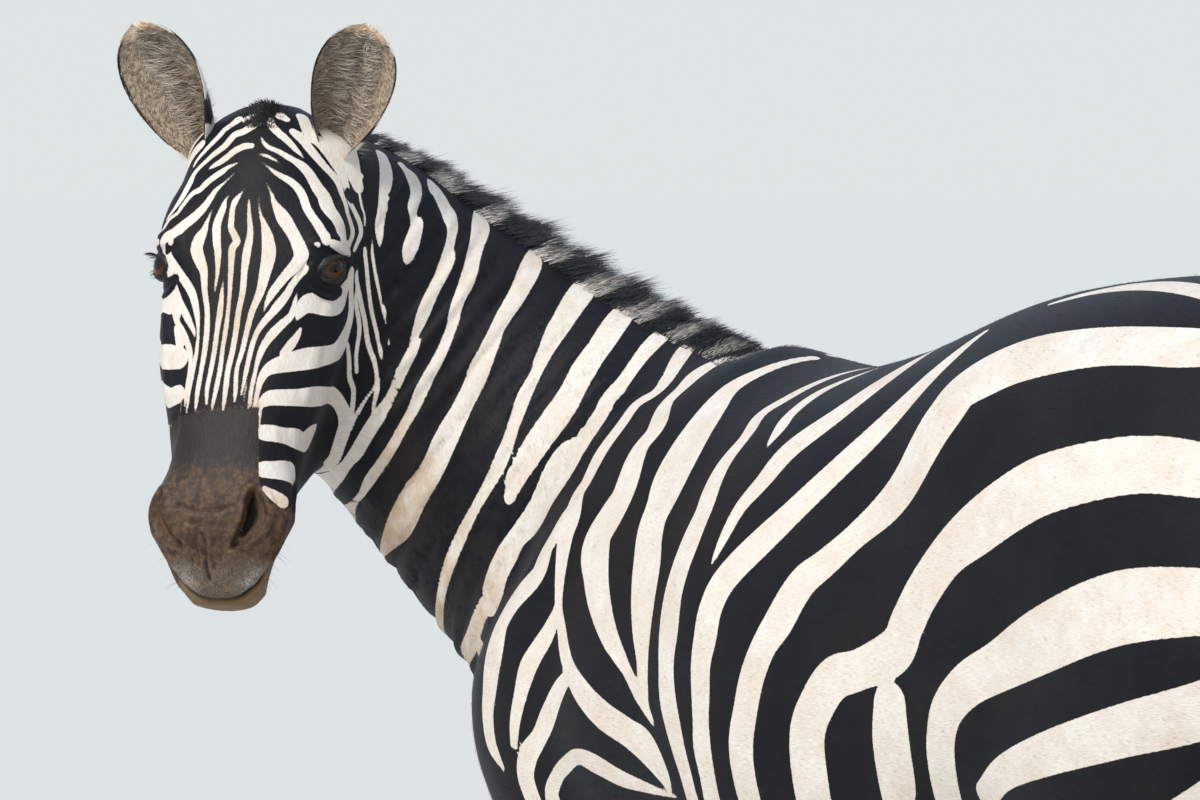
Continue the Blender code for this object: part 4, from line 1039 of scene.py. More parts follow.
# ---- materials
class Nodes:
    """Short names for building a material's nodes."""

    def __init__(self, name):
        self.material = bpy.data.materials.new(name)
        self.material.use_nodes = True
        self.tree = self.material.node_tree
        self.shader = self.tree.nodes["Principled BSDF"]

    def link(self, value, socket):
        if isinstance(value, bpy.types.NodeSocket):
            self.tree.links.new(value, socket)
        elif isinstance(value, (tuple, list)) and len(value) == 3 and socket.type == "RGBA":
            socket.default_value = (*value, 1)
        else:
            socket.default_value = value

    def add(self, kind, inputs=(), output=0, **settings):
        node = self.tree.nodes.new(kind)
        for key, value in settings.items():
            setattr(node, key, value)
        for key, value in dict(inputs).items():
            self.link(value, node.inputs[key])
        return node.outputs[output]

    def math(self, operation, a, b=0.0, clamp=False):
        return self.add("ShaderNodeMath", {0: a, 1: b}, operation=operation, use_clamp=clamp)

    def attribute(self, name, output="Fac"):
        return self.add("ShaderNodeAttribute", output=output, attribute_name=name)

    def noise(self, vector, scale, detail=2.0, rough=0.5, output="Fac"):
        values = {"Vector": vector, "Scale": scale, "Detail": detail, "Roughness": rough}
        return self.add("ShaderNodeTexNoise", values, output=output)

    def ramp(self, value, low, high, to_low=0.0, to_high=1.0):
        values = {"Value": value, "From Min": low, "From Max": high, "To Min": to_low, "To Max": to_high}
        return self.add("ShaderNodeMapRange", values, interpolation_type="SMOOTHSTEP")

    def mix(self, share, a, b, blend="MIX"):
        node = self.tree.nodes.new("ShaderNodeMix")
        node.data_type, node.blend_type = "RGBA", blend
        self.link(share, node.inputs[0])
        self.link(a, node.inputs[6])
        self.link(b, node.inputs[7])
        return node.outputs[2]

    def place(self):
        return self.add("ShaderNodeTexCoord", output="Object")

    def parts(self, vector):
        """The three numbers of a vector."""
        node = self.tree.nodes.new("ShaderNodeSeparateXYZ")
        self.link(vector, node.inputs[0])
        return node.outputs

    def sum(self, a, b, times):
        """a, and b as many times as times says."""
        return self.math("ADD", a, self.math("MULTIPLY", b, times))

    def product(self, a, b):
        return self.math("MULTIPLY", a, b)

    def wander(self, place, scale, detail, rough):
        """Noise about 0, from -0.5 to 0.5."""
        return self.math("SUBTRACT", self.noise(place, scale, detail, rough), 0.5)

    def shaded(self, colour, shade):
        """The colour, as light as shade says."""
        grey = self.add("ShaderNodeCombineXYZ", {0: shade, 1: shade, 2: shade})
        return self.mix(1.0, colour, grey, "MULTIPLY")

    def bump(self, height, strength, distance):
        values = {"Height": height, "Strength": strength, "Distance": distance}
        return self.add("ShaderNodeBump", values)

    def stretched(self, vector, across, along):
        return self.add("ShaderNodeVectorMath", {0: vector, 1: (across, along, 1.0)}, operation="MULTIPLY")

    def set(self, **values):
        for key, value in values.items():
            self.link(value, self.shader.inputs[key.replace("_", " ")])
        return self.material


# the black coat's blue tint is a painted reflection of the blue sky
BLACK_COAT, BROWN_COAT = (0.0048, 0.0056, 0.0090), (0.0125, 0.0090, 0.0078)
WHITE_COAT, CREAM_COAT, DUST = (0.80, 0.75, 0.69), (0.68, 0.56, 0.44), (0.56, 0.38, 0.23)
SLATE, MUZZLE_DARK, MUZZLE_WARM = (0.030, 0.0220, 0.0215), (0.046, 0.029, 0.020), (0.125, 0.074, 0.042)
# the second colour here is painted shade, for the muzzle's creases, the nostrils' holes and the mouth's slit
NOSTRIL, CREASE_SHADE = (0.085, 0.042, 0.018), (0.006, 0.004, 0.003)
LIP, GREY_HAIR = (0.215, 0.132, 0.068), (0.34, 0.31, 0.28)


def coat_material(name, tufted):
    """The coat's markings, with the bump of short fur on the skin and a shade of its own for each tuft."""
    n = Nodes(name)
    place = n.place()
    gap = n.attribute("white")
    muzzle, lip, dust = n.parts(n.attribute("tone", "Vector"))
    grey = n.attribute("tone", "Alpha")
    ragged = n.product(n.wander(place, 420, 3.0, 0.65), 0.0015)
    white = n.ramp(n.math("ADD", gap, ragged), -0.00045, 0.00045, 1.0, 0.0)
    broad, patches = n.noise(place, 5.0, 4.0, 0.6), n.noise(place, 38, 5.0, 0.65)
    black = n.mix(n.ramp(broad, 0.45, 0.72, 0.0, 0.65), BLACK_COAT, BROWN_COAT)
    pale = n.mix(n.ramp(patches, 0.35, 0.75, 0.0, 0.45), WHITE_COAT, CREAM_COAT)
    soiled = n.math("MULTIPLY", dust, n.ramp(n.noise(place, 16, 5.0, 0.7), 0.30, 0.66), clamp=True)
    pale = n.mix(soiled, pale, DUST)
    black = n.mix(n.product(soiled, 0.03), black, DUST)
    coat = n.mix(white, black, pale)
    mottle = n.noise(place, 130, 5.0, 0.75)
    warm = n.mix(n.ramp(mottle, 0.36, 0.66), MUZZLE_DARK, MUZZLE_WARM)
    snout = n.mix(n.ramp(n.sum(dust, n.math("SUBTRACT", mottle, 0.5), 0.9), 0.2, 0.8), SLATE, warm)
    frayed = n.sum(muzzle, n.wander(place, 240, 3.0, 0.7), 1.1)
    coat = n.mix(n.ramp(frayed, 0.30, 0.62), coat, snout)
    hairs = n.ramp(n.noise(place, 700, 2.0), 0.40, 0.62, 0.25, 1.0)
    coat = n.mix(n.product(n.math("MAXIMUM", grey, 0.0), hairs), coat, GREY_HAIR)
    coat = n.mix(n.ramp(lip, 0.1, 0.9), coat, LIP)
    coat = n.mix(n.ramp(lip, -0.9, -0.05, 0.85, 0.0), coat, NOSTRIL)
    # painted shade in the muzzle's creases, the nostrils' holes and the mouth's slit
    coat = n.mix(n.ramp(grey, -1.0, 0.0, 0.95, 0.0), coat, CREASE_SHADE)
    if tufted:
        share, chance, _ = n.parts(n.attribute("strand", "Vector"))
        shade = n.ramp(chance, 0.0, 1.0, 0.78, 1.12)
        shade = n.product(shade, n.ramp(share, 0.0, 0.8, 0.86, 1.04))
    else:
        lie = n.add("ShaderNodeUVMap", uv_map="lie")
        strands = n.noise(n.stretched(lie, 1300, 150), 1.0, 2.0)
        locks = n.noise(n.stretched(lie, 300, 55), 1.0, 2.0)
        height = n.sum(n.product(strands, 0.6), locks, 0.7)
        height = n.sum(height, n.noise(place, 900, 2.0), 0.25)
        shade = n.ramp(strands, 0.25, 0.75, 0.86, 1.08)
        n.set(Normal=n.bump(height, 0.5, 0.0011))
    rough = n.ramp(muzzle, 0.0, 1.0, 0.52, 0.46)
    # the blue sheen tint is a painted reflection of the sky
    n.set(Sheen_Weight=0.04, Sheen_Roughness=0.35, Sheen_Tint=(0.55, 0.70, 1.0), Specular_IOR_Level=0.17)
    return n.set(Base_Color=n.shaded(coat, shade), Roughness=rough)


def hair_material(name, root, tip, rough=0.45, streak=0.5, edge=None):
    """Hair with a colour at its root and one at its tip.

    Where edge is given, white markings show up to that share of a hair's length.
    """
    n = Nodes(name)
    share, chance, _ = n.parts(n.attribute("strand", "Vector"))
    colour = n.mix(n.ramp(share, 0.1, 0.9), root, tip)
    if edge is not None:
        white = n.ramp(n.attribute("white"), -0.001, 0.001, 1.0, 0.0)
        fade = n.ramp(n.sum(share, chance, 0.5), edge, edge + 0.3, 1.0, 0.0)
        colour = n.mix(n.product(white, fade), colour, WHITE_COAT)
    shade = n.ramp(chance, 0.0, 1.0, 1.0 - streak, 1.0 + streak * 0.6)
    n.set(Specular_IOR_Level=0.4, Sheen_Weight=0.15)
    return n.set(Base_Color=n.shaded(colour, shade), Roughness=rough)


def horn_material():
    """Dark horn with fine upright grain and growth rings, worn pale at the ground."""
    n = Nodes("hoof horn")
    place = n.place()
    height = n.parts(place)[2]
    grain = n.noise(n.stretched(place, 420, 420), 1.0, 3.0)
    level = n.sum(n.product(height, 90), n.noise(place, 25, 2.0), 1.2)
    rings = n.math("SINE", n.product(level, 6.283))
    dark = n.mix(n.ramp(grain, 0.3, 0.7), (0.022, 0.019, 0.017), (0.075, 0.060, 0.047))
    worn = n.ramp(n.sum(height, n.noise(place, 60, 3.0), 0.012), 0.004, 0.018, 0.75, 0.0)
    colour = n.mix(worn, dark, (0.20, 0.155, 0.11))
    bump = n.bump(n.sum(n.product(rings, 0.35), grain, 0.8), 0.45, 0.0012)
    return n.set(Base_Color=colour, Roughness=n.ramp(grain, 0.2, 0.8, 0.36, 0.58), Normal=bump)


def eye_material():
    """Dark brown iris with a wide dark pupil, on the attribute that holds the place on the eyeball."""
    n = Nodes("eyeball")
    gaze = n.attribute("gaze", "Vector")
    x, y, _ = n.parts(gaze)

    def away(wide, high):
        """Distance from the gaze, with each direction scaled."""
        return n.math("SQRT", n.math("ADD", n.math("POWER", n.product(x, wide), 2.0),
                                     n.math("POWER", n.product(y, high), 2.0)))

    rim, slot = away(1.0, 1.0), away(0.62, 1.45)
    iris = n.mix(n.ramp(n.noise(gaze, 22, 4.0, 0.7), 0.3, 0.7), (0.030, 0.010, 0.005), (0.125, 0.040, 0.015))
    iris = n.mix(n.ramp(rim, 0.50, 0.72), iris, (0.012, 0.006, 0.004))
    iris = n.mix(n.ramp(slot, 0.27, 0.33, 1.0, 0.0), iris, (0.002, 0.002, 0.003))
    white = n.mix(n.noise(gaze, 9, 3.0), (0.012, 0.008, 0.006), (0.035, 0.022, 0.017))
    colour = n.mix(n.ramp(rim, 0.70, 0.80), iris, white)
    n.set(Coat_Weight=0.6, Coat_Roughness=0.02, Specular_IOR_Level=0.05)
    return n.set(Base_Color=colour, Roughness=0.12)


# ---- hair: tapered spikes, each a closed mesh of its own
PATCH = 0.0015  # half the size of a spike's patch on the OFBake map
HAIR_SIDES = 3
GOLDEN = 2.399  # radians between the points of a patch
CURL_TURNS = 5.0  # radians that a curling spike turns from root to tip
spare = np.random.default_rng(7)


def spikes(name, roots, ways, normals, lengths, widths, material, uvs, fields, bend=None, levels=1, flat=0.35,
           curl=0.0, smooth=None):
    """Spikes from roots along ways, each of some levels of three points, and a tip that bend pulls aside."""
    count = len(roots)
    side = unit(np.cross(ways, normals))
    out = unit(np.cross(side, ways))
    bend = np.zeros((count, 3)) if bend is None else bend
    turns = spare.uniform(0, 2 * math.pi, count)
    rings = []
    shares = np.linspace(0, 1, levels + 1)

    def middle_at(share):
        middle = roots + ways * (lengths * share)[:, None] + bend * (lengths * share**2)[:, None]
        if curl:
            phase = turns + share * CURL_TURNS
            middle = middle + side * (np.sin(phase) * curl * share * lengths)[:, None]
            middle = middle + out * (np.cos(phase) * curl * share * lengths)[:, None]
        return middle

    for share in shares[:-1]:
        middle = middle_at(share)
        wide = widths * (1 - share) ** 0.6 * 0.5
        for k in range(HAIR_SIDES):
            angle = 2 * math.pi * k / HAIR_SIDES + math.pi / 2
            across = side * (wide * math.cos(angle))[:, None]
            rings.append(middle + across + out * (wide * flat * math.sin(angle))[:, None])
    points = np.stack(rings + [middle_at(1.0)], axis=1)
    per = points.shape[1]
    faces = [(0, 2, 1)]
    for low in range(0, (levels - 1) * HAIR_SIDES, HAIR_SIDES):
        high = low + HAIR_SIDES
        for k in range(HAIR_SIDES):
            j = (k + 1) % HAIR_SIDES
            faces += [(low + k, low + j, high + j), (low + k, high + j, high + k)]
    last = (levels - 1) * HAIR_SIDES
    faces += [(last + k, last + (k + 1) % HAIR_SIDES, per - 1) for k in range(HAIR_SIDES)]
    faces = np.array(faces)[:, ::-1]
    every = (np.arange(count) * per)[:, None, None] + faces[None]
    made = mesh_from(name, points.reshape(-1, 3), every.reshape(-1, 3))
    mesh = made.data
    share_of = np.concatenate([np.repeat(shares[:-1], HAIR_SIDES), [1.0]])
    chance = np.repeat(spare.uniform(0, 1, count), per)
    put_field(mesh, "strand", np.column_stack([np.tile(share_of, count), chance, np.zeros(count * per)]))
    for key, values in fields.items():
        put_field(mesh, key, np.repeat(values, per, axis=0))
    angles = np.arange(per) * GOLDEN
    spread = np.stack([np.cos(angles), np.sin(angles)], axis=1) * PATCH * (0.35 + 0.65 * share_of)[:, None]
    where = (uvs[:, None] + spread[None]).reshape(-1, 2)
    layer = mesh.uv_layers.new(name="OFBake")
    layer.data.foreach_set("uv", where[every.reshape(-1)].ravel())
    mesh.materials.append(material)
    if smooth is not None:
        mesh.normals_split_custom_set_from_vertices(np.repeat(smooth, per, axis=0).tolist())
    finish_piece(made)
    return made


def mesh_from(name, points, triangles):
    mesh = bpy.data.meshes.new(name)
    mesh.vertices.add(len(points))
    mesh.vertices.foreach_set("co", np.asarray(points, np.float32).ravel())
    mesh.loops.add(triangles.size)
    mesh.loops.foreach_set("vertex_index", triangles.ravel().astype(np.int32))
    mesh.polygons.add(len(triangles))
    mesh.polygons.foreach_set("loop_start", np.arange(0, triangles.size, 3, dtype=np.int32))
    mesh.update(calc_edges=True)
    mesh.polygons.foreach_set("use_smooth", np.ones(len(triangles), bool))
    made = bpy.data.objects.new(name, mesh)
    bpy.context.scene.collection.objects.link(made)
    return made


def put_field(mesh, key, values):
    """Gives each point its number, or its three or four."""
    kind, field = ("FLOAT", "value") if values.ndim == 1 else ("FLOAT_COLOR", "color")
    if values.shape[1:] == (3,):
        values = np.column_stack([values, np.ones(len(values))])
    layer = mesh.attributes.new(key, kind, "POINT")
    layer.data.foreach_set(field, np.asarray(values, np.float32).ravel())


def finish_piece(made, replaces=()):
    made.data.transform(Matrix.Translation(BODY_OFFSET))
    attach(made, "root")
    if replaces:
        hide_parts(*replaces)


# ---- the skin as arrays
class Skin:
    """The finished skin: where its points are, what it carries, and places on it for hair."""

    def __init__(self, made):
        mesh = made.data
        mesh.calc_loop_triangles()
        count = len(mesh.loop_triangles)
        self.points, self.normals = numbers(mesh, "co"), numbers(mesh, "normal")
        self.triangles = np.empty(count * 3, np.int32)
        mesh.loop_triangles.foreach_get("vertices", self.triangles)
        loops = np.empty(count * 3, np.int32)
        mesh.loop_triangles.foreach_get("loops", loops)
        uvs = np.empty(len(mesh.loops) * 2, np.float32)
        mesh.uv_layers["OFBake"].data.foreach_get("uv", uvs)
        self.triangles = self.triangles.reshape(-1, 3)
        self.uvs = uvs.reshape(-1, 2)[loops].reshape(-1, 3, 2)
        a, b, c = (self.points[self.triangles[:, i]] for i in range(3))
        self.areas = np.linalg.norm(np.cross(b - a, c - a), axis=1) / 2
        self.tree = BVHTree.FromPolygons(self.points.tolist(), self.triangles.tolist())
        self.fields = {}

    def scatter(self, count, weight):
        """Places for hair, as dense as weight says for each point of the skin."""
        share = self.areas * weight[self.triangles].mean(1)
        ends = np.cumsum(share)
        chosen = np.searchsorted(ends, spare.uniform(0, ends[-1], count))
        chosen = np.minimum(chosen, len(ends) - 1)
        one, two = spare.uniform(0, 1, (2, count))
        over = one + two > 1
        one[over], two[over] = 1 - one[over], 1 - two[over]
        parts = np.stack([1 - one - two, one, two], axis=1)
        corners = self.triangles[chosen]

        def blend(values):
            shares = parts if values.ndim == 1 else parts[:, :, None]
            return (values[corners] * shares).sum(1)

        found = {key: blend(values) for key, values in self.fields.items()}
        found["places"] = blend(self.points)
        found["normals"] = unit(blend(self.normals))
        found["uv"] = (self.uvs[chosen] * parts[:, :, None]).sum(1)
        return found

    def at(self, places):
        """What the skin carries at its points nearest to these."""
        nearest = np.array([self.tree.find_nearest(Vector(p))[2] for p in places])
        corners = self.triangles[nearest]
        found = {key: values[corners].mean(1) for key, values in self.fields.items()}
        found["uv"] = self.uvs[nearest].mean(1)
        found["normals"] = unit(self.normals[corners].mean(1))
        return found


# ---- eyes, ears and hooves
EYE_TURN = 36.0  # degrees that the gaze turns forward from straight out of the side of the head
EYE_DROP = 7.0  # degrees that it turns down
EYE_ROLL = 36.0  # degrees that the slit rises to its back corner
EYE_BULGE = 0.0014  # how far the clear front stands out of the ball


def gaze_axes(side):
    """The eye's own axes as columns: along its slit, up its lids, and out along the gaze."""
    axes = np.array(head_axes().to_3x3())
    turn, drop = math.radians(EYE_TURN), math.radians(EYE_DROP)
    ahead = axes[:, 2] * math.sin(turn) + axes[:, 0] * side * math.cos(turn)
    ahead = ahead * math.cos(drop) + axes[:, 1] * math.sin(drop)
    up = -axes[:, 1]
    up = up - ahead * (up @ ahead)
    up /= np.linalg.norm(up)
    along, roll = np.cross(up, ahead), math.radians(EYE_ROLL) * side
    along, up = along * math.cos(roll) + up * math.sin(roll), up * math.cos(roll) - along * math.sin(roll)
    return np.stack([along, up, ahead], axis=1)


def eye_middle(side):
    return np.array(head_axes() @ Vector((side * EYE.x, EYE.y, EYE.z)))


def eyeball(name, side, material):
    """A ball whose front bulges, with its place about the gaze on each point."""
    bm = bmesh.new()
    bmesh.ops.create_uvsphere(bm, u_segments=48, v_segments=32, radius=1)
    made = mesh_object(name, bm)
    own = numbers(made.data, "co")
    rim = np.hypot(own[:, 0], own[:, 1])
    bulge = np.where(own[:, 2] > 0, EYE_BULGE * (1 - smoothstep(rim, 0.2, 0.80)), 0)
    radius = EYE_RADIUS - EYE_BULGE
    place_at(made.data, own * (radius + bulge)[:, None] @ gaze_axes(side).T + eye_middle(side))
    put_field(made.data, "gaze", own)
    smoothed(made)
    made.data.materials.append(material)
    finish_piece(made, [name.replace("eyeball", "eye")])


# height, distance forward of the leg's end, half of the width, and reach forward and back
HOOF = (
    (0.0735, 0.000, 0.0410, 0.0455, 0.0465),
    (0.0600, 0.004, 0.0427, 0.0485, 0.0485),
    (0.0300, 0.014, 0.0462, 0.0525, 0.0505),
    (0.0040, 0.022, 0.0490, 0.0565, 0.0515),
    (0.0004, 0.022, 0.0480, 0.0555, 0.0505),
    (0.0000, 0.022, 0.0462, 0.0535, 0.0490),
)


def hoof(name, x, y, material):
    """The hoof's wall, drawn with more points than the solid, with growth rings."""
    rings = []
    across, ahead = Vector((1, 0, 0)), Vector((0, -1, 0))
    for z, forward, half_width, front, back in smooth_rows(HOOF, 8):
        z = max(z, 0.0)
        wave = 1 + 0.004 * math.sin(z * 700) * (z > 0.01)
        middle = Vector((x, y - forward, z))
        rings.append(ring(middle, across, ahead, half_width * wave, front * wave, back, 2.1, 2.3, 64))
    made = loft(name, rings)
    for polygon in made.data.polygons:
        polygon.use_smooth = abs(polygon.normal.z) < 0.9
    made.data.materials.append(material)
    finish_piece(made, [name.replace("horn", "hoof")])


def ear_axes(side, way):
    """The root of an ear, and its own axes: up, out of the cup, and across."""
    axes = head_axes()
    base = axes @ Vector((side * EAR_BASE.x, EAR_BASE.y, EAR_BASE.z))
    left = axes.to_3x3().col[0]
    ahead = left.cross(Vector((0, 0, 1))).normalized()
    up = (left * side * way[0] + ahead * way[1] + Vector((0, 0, way[2]))).normalized()
    facing = math.radians(EAR_FACING)
    front = ahead * math.cos(facing) + left * side * math.sin(facing)
    front = (front - up * front.dot(up)).normalized()
    return base, np.array(up), np.array(front), np.array(up.cross(front))


EAR_STEPS = 56


def ear(name, side, way, skin_look, node):
    """The shell of an ear. Gives its places and outward directions, by wall, step up and step round."""
    base, up, front, across = ear_axes(side, way)
    rows = smooth_rows(EAR, 8)
    walls = []
    for inward in (0.0006, EAR_WALL - 0.0015):
        grid = []
        for share, width, deep, wrap in rows:
            turn = np.linspace(-1, 1, EAR_STEPS + 1)
            angle = np.radians(wrap) * turn
            thin = inward * np.maximum(0.25, 1 - np.abs(turn) ** 4 * 0.8)
            high = EAR_LENGTH * share - thin * (share > 0.9)
            fold = 0.0012 * np.sin(angle * 7) * (share > 0.1) * (inward > 0.001)
            x, y = (width - thin) * np.sin(angle), (deep - thin - fold) * np.cos(angle)
            place = np.array(base) + up * high[:, None] + across * x[:, None]
            grid.append(place - front * (y - deep * 0.4)[:, None])
        walls.append(np.array(grid))
    outer, inner = walls
    high, wide = outer.shape[:2]
    points = np.concatenate([outer.reshape(-1, 3), inner.reshape(-1, 3)])
    faces = []

    def at(wall, i, j):
        return wall * high * wide + i * wide + j

    for i in range(high - 1):
        for j in range(wide - 1):
            faces.append((at(0, i, j), at(0, i, j + 1), at(0, i + 1, j + 1), at(0, i + 1, j)))
            faces.append((at(1, i, j), at(1, i + 1, j), at(1, i + 1, j + 1), at(1, i, j + 1)))
    rim = [(i, 0) for i in range(high)] + [(high - 1, j) for j in range(1, wide - 1)]
    rim += [(i, wide - 1) for i in range(high - 1, -1, -1)] + [(0, j) for j in range(wide - 2, 0, -1)]
    for (i, j), (k, l) in zip(rim, rim[1:] + rim[:1]):
        faces.append((at(0, i, j), at(0, k, l), at(1, k, l), at(1, i, j)))
    bm = bmesh.new()
    verts = [bm.verts.new(p) for p in points]
    for face in faces:
        bm.faces.new([verts[k] for k in face])
    bmesh.ops.recalc_face_normals(bm, faces=bm.faces)
    made = mesh_object(name, bm)
    smoothed(made)
    shares = np.tile(np.repeat(rows[:, 0], wide), 2)
    turns = np.tile(np.linspace(-1, 1, wide), high * 2)
    inside = np.repeat([0.0, 1.0], high * wide)
    put_field(made.data, "ear", np.stack([shares, turns, inside], axis=1))
    made.data.materials.append(skin_look)
    layer = made.data.uv_layers.new(name="OFBake")
    where = ear_map(shares, turns, inside)[corner_points(made.data)]
    layer.data.foreach_set("uv", where.astype(np.float32).ravel())
    places, normals = (numbers(made.data, what).reshape(2, high, wide, 3) for what in ("co", "normal"))
    finish_piece(made, [node])
    return places, normals


def ear_map(share, turn, inside):
    """Places on the OFBake map, where each wall of the ear has its own half."""
    u = (turn * 0.5 + 0.5) * 0.46 + 0.02 + 0.5 * inside
    return np.stack([u, np.clip((share + 0.1) / 1.1, 0, 1) * 0.96 + 0.02], axis=1)


def ear_material():
    """Pale brown down in the cup, with painted shade deep in it, a black rim, and a white back with a black
    band and tip.
    """
    n = Nodes("ear skin and down")
    share, turn, inside = n.parts(n.attribute("ear", "Vector"))
    place = n.place()
    wobble = n.product(n.wander(place, 90, 4.0, 0.65), 0.16)
    across = n.math("ABSOLUTE", turn)
    edge = n.math("ADD", across, wobble)
    down = n.mix(n.ramp(n.noise(place, 260, 4.0, 0.75), 0.35, 0.65), (0.12, 0.083, 0.058), (0.56, 0.44, 0.32))
    # painted shade, darkest in the middle of the cup and towards its base
    deep = n.product(n.ramp(across, 0.0, 0.5, 0.75, 0.0), n.ramp(share, 0.0, 0.5, 1.0, 0.5))
    down = n.mix(deep, down, (0.050, 0.032, 0.022))
    rim = n.mix(n.ramp(share, 0.10, 0.30), (0.50, 0.30, 0.15), (0.010, 0.008, 0.008))
    down = n.mix(n.ramp(edge, 0.87, 0.96), down, rim)
    down = n.mix(n.ramp(share, 0.90, 0.96), down, (0.72, 0.52, 0.34))
    level = n.math("ADD", share, wobble)
    back = n.mix(n.ramp(level, 0.62, 0.66), WHITE_COAT, BLACK_COAT)
    back = n.mix(n.ramp(level, 0.90, 0.95), back, WHITE_COAT)
    band = n.product(n.ramp(level, 0.20, 0.24), n.ramp(level, 0.36, 0.40, 1.0, 0.0))
    colour = n.mix(inside, n.mix(band, back, BLACK_COAT), down)
    bump = n.bump(n.noise(n.stretched(place, 700, 700), 1.0, 3.0), 0.4, 0.001)
    return n.set(Base_Color=colour, Roughness=0.65, Normal=bump)


LID_STEPS = 64
LID_ROWS = (  # share of the opening's angle, degrees beyond it, and height over the eyeball in mm
    (0.955, 0.0, -0.9),
    (0.985, 0.0, 0.15),
    (1.0, 1.2, 0.8),
    (1.0, 3.5, 1.2),
    (1.0, 6.5, 0.8),
    (1.0, 9.5, 1.2),
    (1.0, 14.0, 0.8),
    (1.0, 20.0, 0.2),
    (1.0, 29.0, -1.8),
    (1.0, 40.0, -5.0),
)
LID_LONG = 57.0  # degrees from the gaze to the corners of the lids
UPPER_LID, LOWER_LID = 25.0, 30.0  # degrees from the gaze to the middle of each lid's edge
LASH_OVER = 1.0  # degrees past the lids' edges where the lashes grow


def lid_angle(turn):
    """Degrees from the gaze to the edge of the lids, the slit being 0 and 180 and the upper lid 90."""
    along, up = math.cos(turn), math.sin(turn)
    rise = UPPER_LID if up > 0 else LOWER_LID
    return 1 / math.sqrt((along / LID_LONG) ** 2 + (up / rise) ** 2)


def lids(name, side, material):
    """The upper and lower lid as one thick almond rim, with a crease above and below."""
    axes, middle = gaze_axes(side), eye_middle(side)
    rings = []
    for share, more, height in LID_ROWS:
        points = []
        for i in range(LID_STEPS):
            turn = 2 * math.pi * i / LID_STEPS
            polar = math.radians(min(lid_angle(turn) * share + more, 118))
            thick = height / 1000 * (1.25 if math.sin(turn) > 0 else 0.9) if height > 0.5 else height / 1000
            wave = 0.00025 * math.sin(turn * 11 + more * 0.7) * (more > 3)
            wide = math.sin(polar)
            own = np.array((math.cos(turn) * wide, math.sin(turn) * wide, math.cos(polar)))
            points.append(middle + axes @ own * (EYE_RADIUS - 0.0002 + thick + wave))
        rings.append(points)
    per = LID_STEPS
    hub = len(rings) * per
    faces = []
    for i in range(per):
        j = (i + 1) % per
        for row in range(0, hub - per, per):
            faces += [(row + i, row + j, row + per + j), (row + i, row + per + j, row + per + i)]
        faces += [(hub - per + i, hub - per + j, hub), (j, i, hub + 1)]
    hubs = [middle + axes @ np.array((0, 0, depth)) * EYE_RADIUS for depth in (0.2, 0.3)]  # inside the ball
    made = mesh_from(name, np.concatenate([np.array(rings).reshape(-1, 3), hubs]), np.array(faces))
    bm = bmesh.new()
    bm.from_mesh(made.data)
    bmesh.ops.recalc_face_normals(bm, faces=bm.faces)
    bm.to_mesh(made.data)
    bm.free()
    made.data.materials.append(material)
    finish_piece(made)


def lid_material():
    n = Nodes("eyelid skin")
    wrinkled = n.noise(n.place(), 420, 3.0, 0.6)
    colour = n.mix(n.ramp(wrinkled, 0.3, 0.7), (0.0045, 0.0042, 0.005), (0.014, 0.0105, 0.0095))
    bump = n.bump(wrinkled, 0.5, 0.0008)
    return n.set(Base_Color=colour, Roughness=0.42, Specular_IOR_Level=0.45, Normal=bump)


# ---- what grows on the skin
COAT_INSET = 0.0004  # how deep the tufts of the coat are rooted
MANE_READS = 23.0  # degrees down the neck where a hair of the mane reads its marking
CORONET_REACH = 0.065  # from the middle of a leg: what lies farther out isn't on the leg


def lie_of(points, normals):
    """The way the coat lies, along the skin."""
    own, head_part = in_neck(points), head_share(points)
    local = in_head(points)
    axes = np.array(head_axes().to_3x3())
    cheek = smoothstep(np.abs(local[:, 0]), 0.04, 0.09) * smoothstep(local[:, 2], -0.02, -0.09)
    on_head = axes[:, 1][None] - axes[:, 2][None] * (0.9 * cheek)[:, None]
    on_head = on_head + axes[:, 0][None] * (np.sign(local[:, 0]) * 0.25)[:, None]
    ahead = np.array([f[3] for f in FRAMES])
    up = np.array([f[2] for f in FRAMES])
    at = np.clip(np.round(own[:, 0] * NECK_CURVE_STEPS), 0, NECK_CURVE_STEPS).astype(int)
    on_neck = -ahead[at] - 0.35 * up[at]
    on_trunk = np.array([0, 1.0, -0.30])[None] + np.zeros_like(points)
    on_trunk[:, 2] *= smoothstep(points[:, 2], 0.70, 0.95)
    low = smoothstep(points[:, 2], 0.90, 0.66) * (np.abs(points[:, 0]) > 0.02)
    tail = (points[:, 1] > TAIL_CUT) * 1.0
    down = np.maximum(low, tail)[:, None]
    neck_part = (smoothstep(own[:, 0], 0.0, 0.25) * (points[:, 1] < -0.30))[:, None]
    way = on_trunk * (1 - neck_part) + on_neck * neck_part
    way = way * (1 - down) + np.array([0, 0.05, -1.0]) * down
    way = unit(way) * (1 - head_part[:, None]) + unit(on_head) * head_part[:, None]
    way = way - normals * (way * normals).sum(1)[:, None]
    return unit(way)


def on_skin(surface, rays):
    """Where rays from inside meet the skin."""
    return np.array([surface.out(*ray)[0] for ray in rays])


def jitter(ways, amount):
    return unit(ways + spare.normal(0, amount, ways.shape))


def marked(found):
    """The markings that a hair takes from its root."""
    return {key: found[key] for key in ("white", "tone")}


def unmarked(count):
    """No white anywhere."""
    return {"white": np.full(count, 0.02)}


def short_coat(skin, name, look, count, weight, length, width, lift):
    """Short tufts that lie along the skin, shorter beside the edges of the stripes."""
    found = skin.scatter(count, weight)
    normals = found["normals"]
    ways = jitter(unit(found["lie"]) + normals * lift, 0.10)
    lengths = length * spare.uniform(0.65, 1.25, count)
    lengths = lengths * (0.45 + 0.55 * smoothstep(np.abs(found["white"]), 0.001, 0.006))
    widths = width * spare.uniform(0.7, 1.3, count)
    roots = found["places"] - normals * COAT_INSET
    spikes(name, roots, ways, normals, lengths, widths, look, found["uv"], marked(found), flat=0.3,
           smooth=normals)


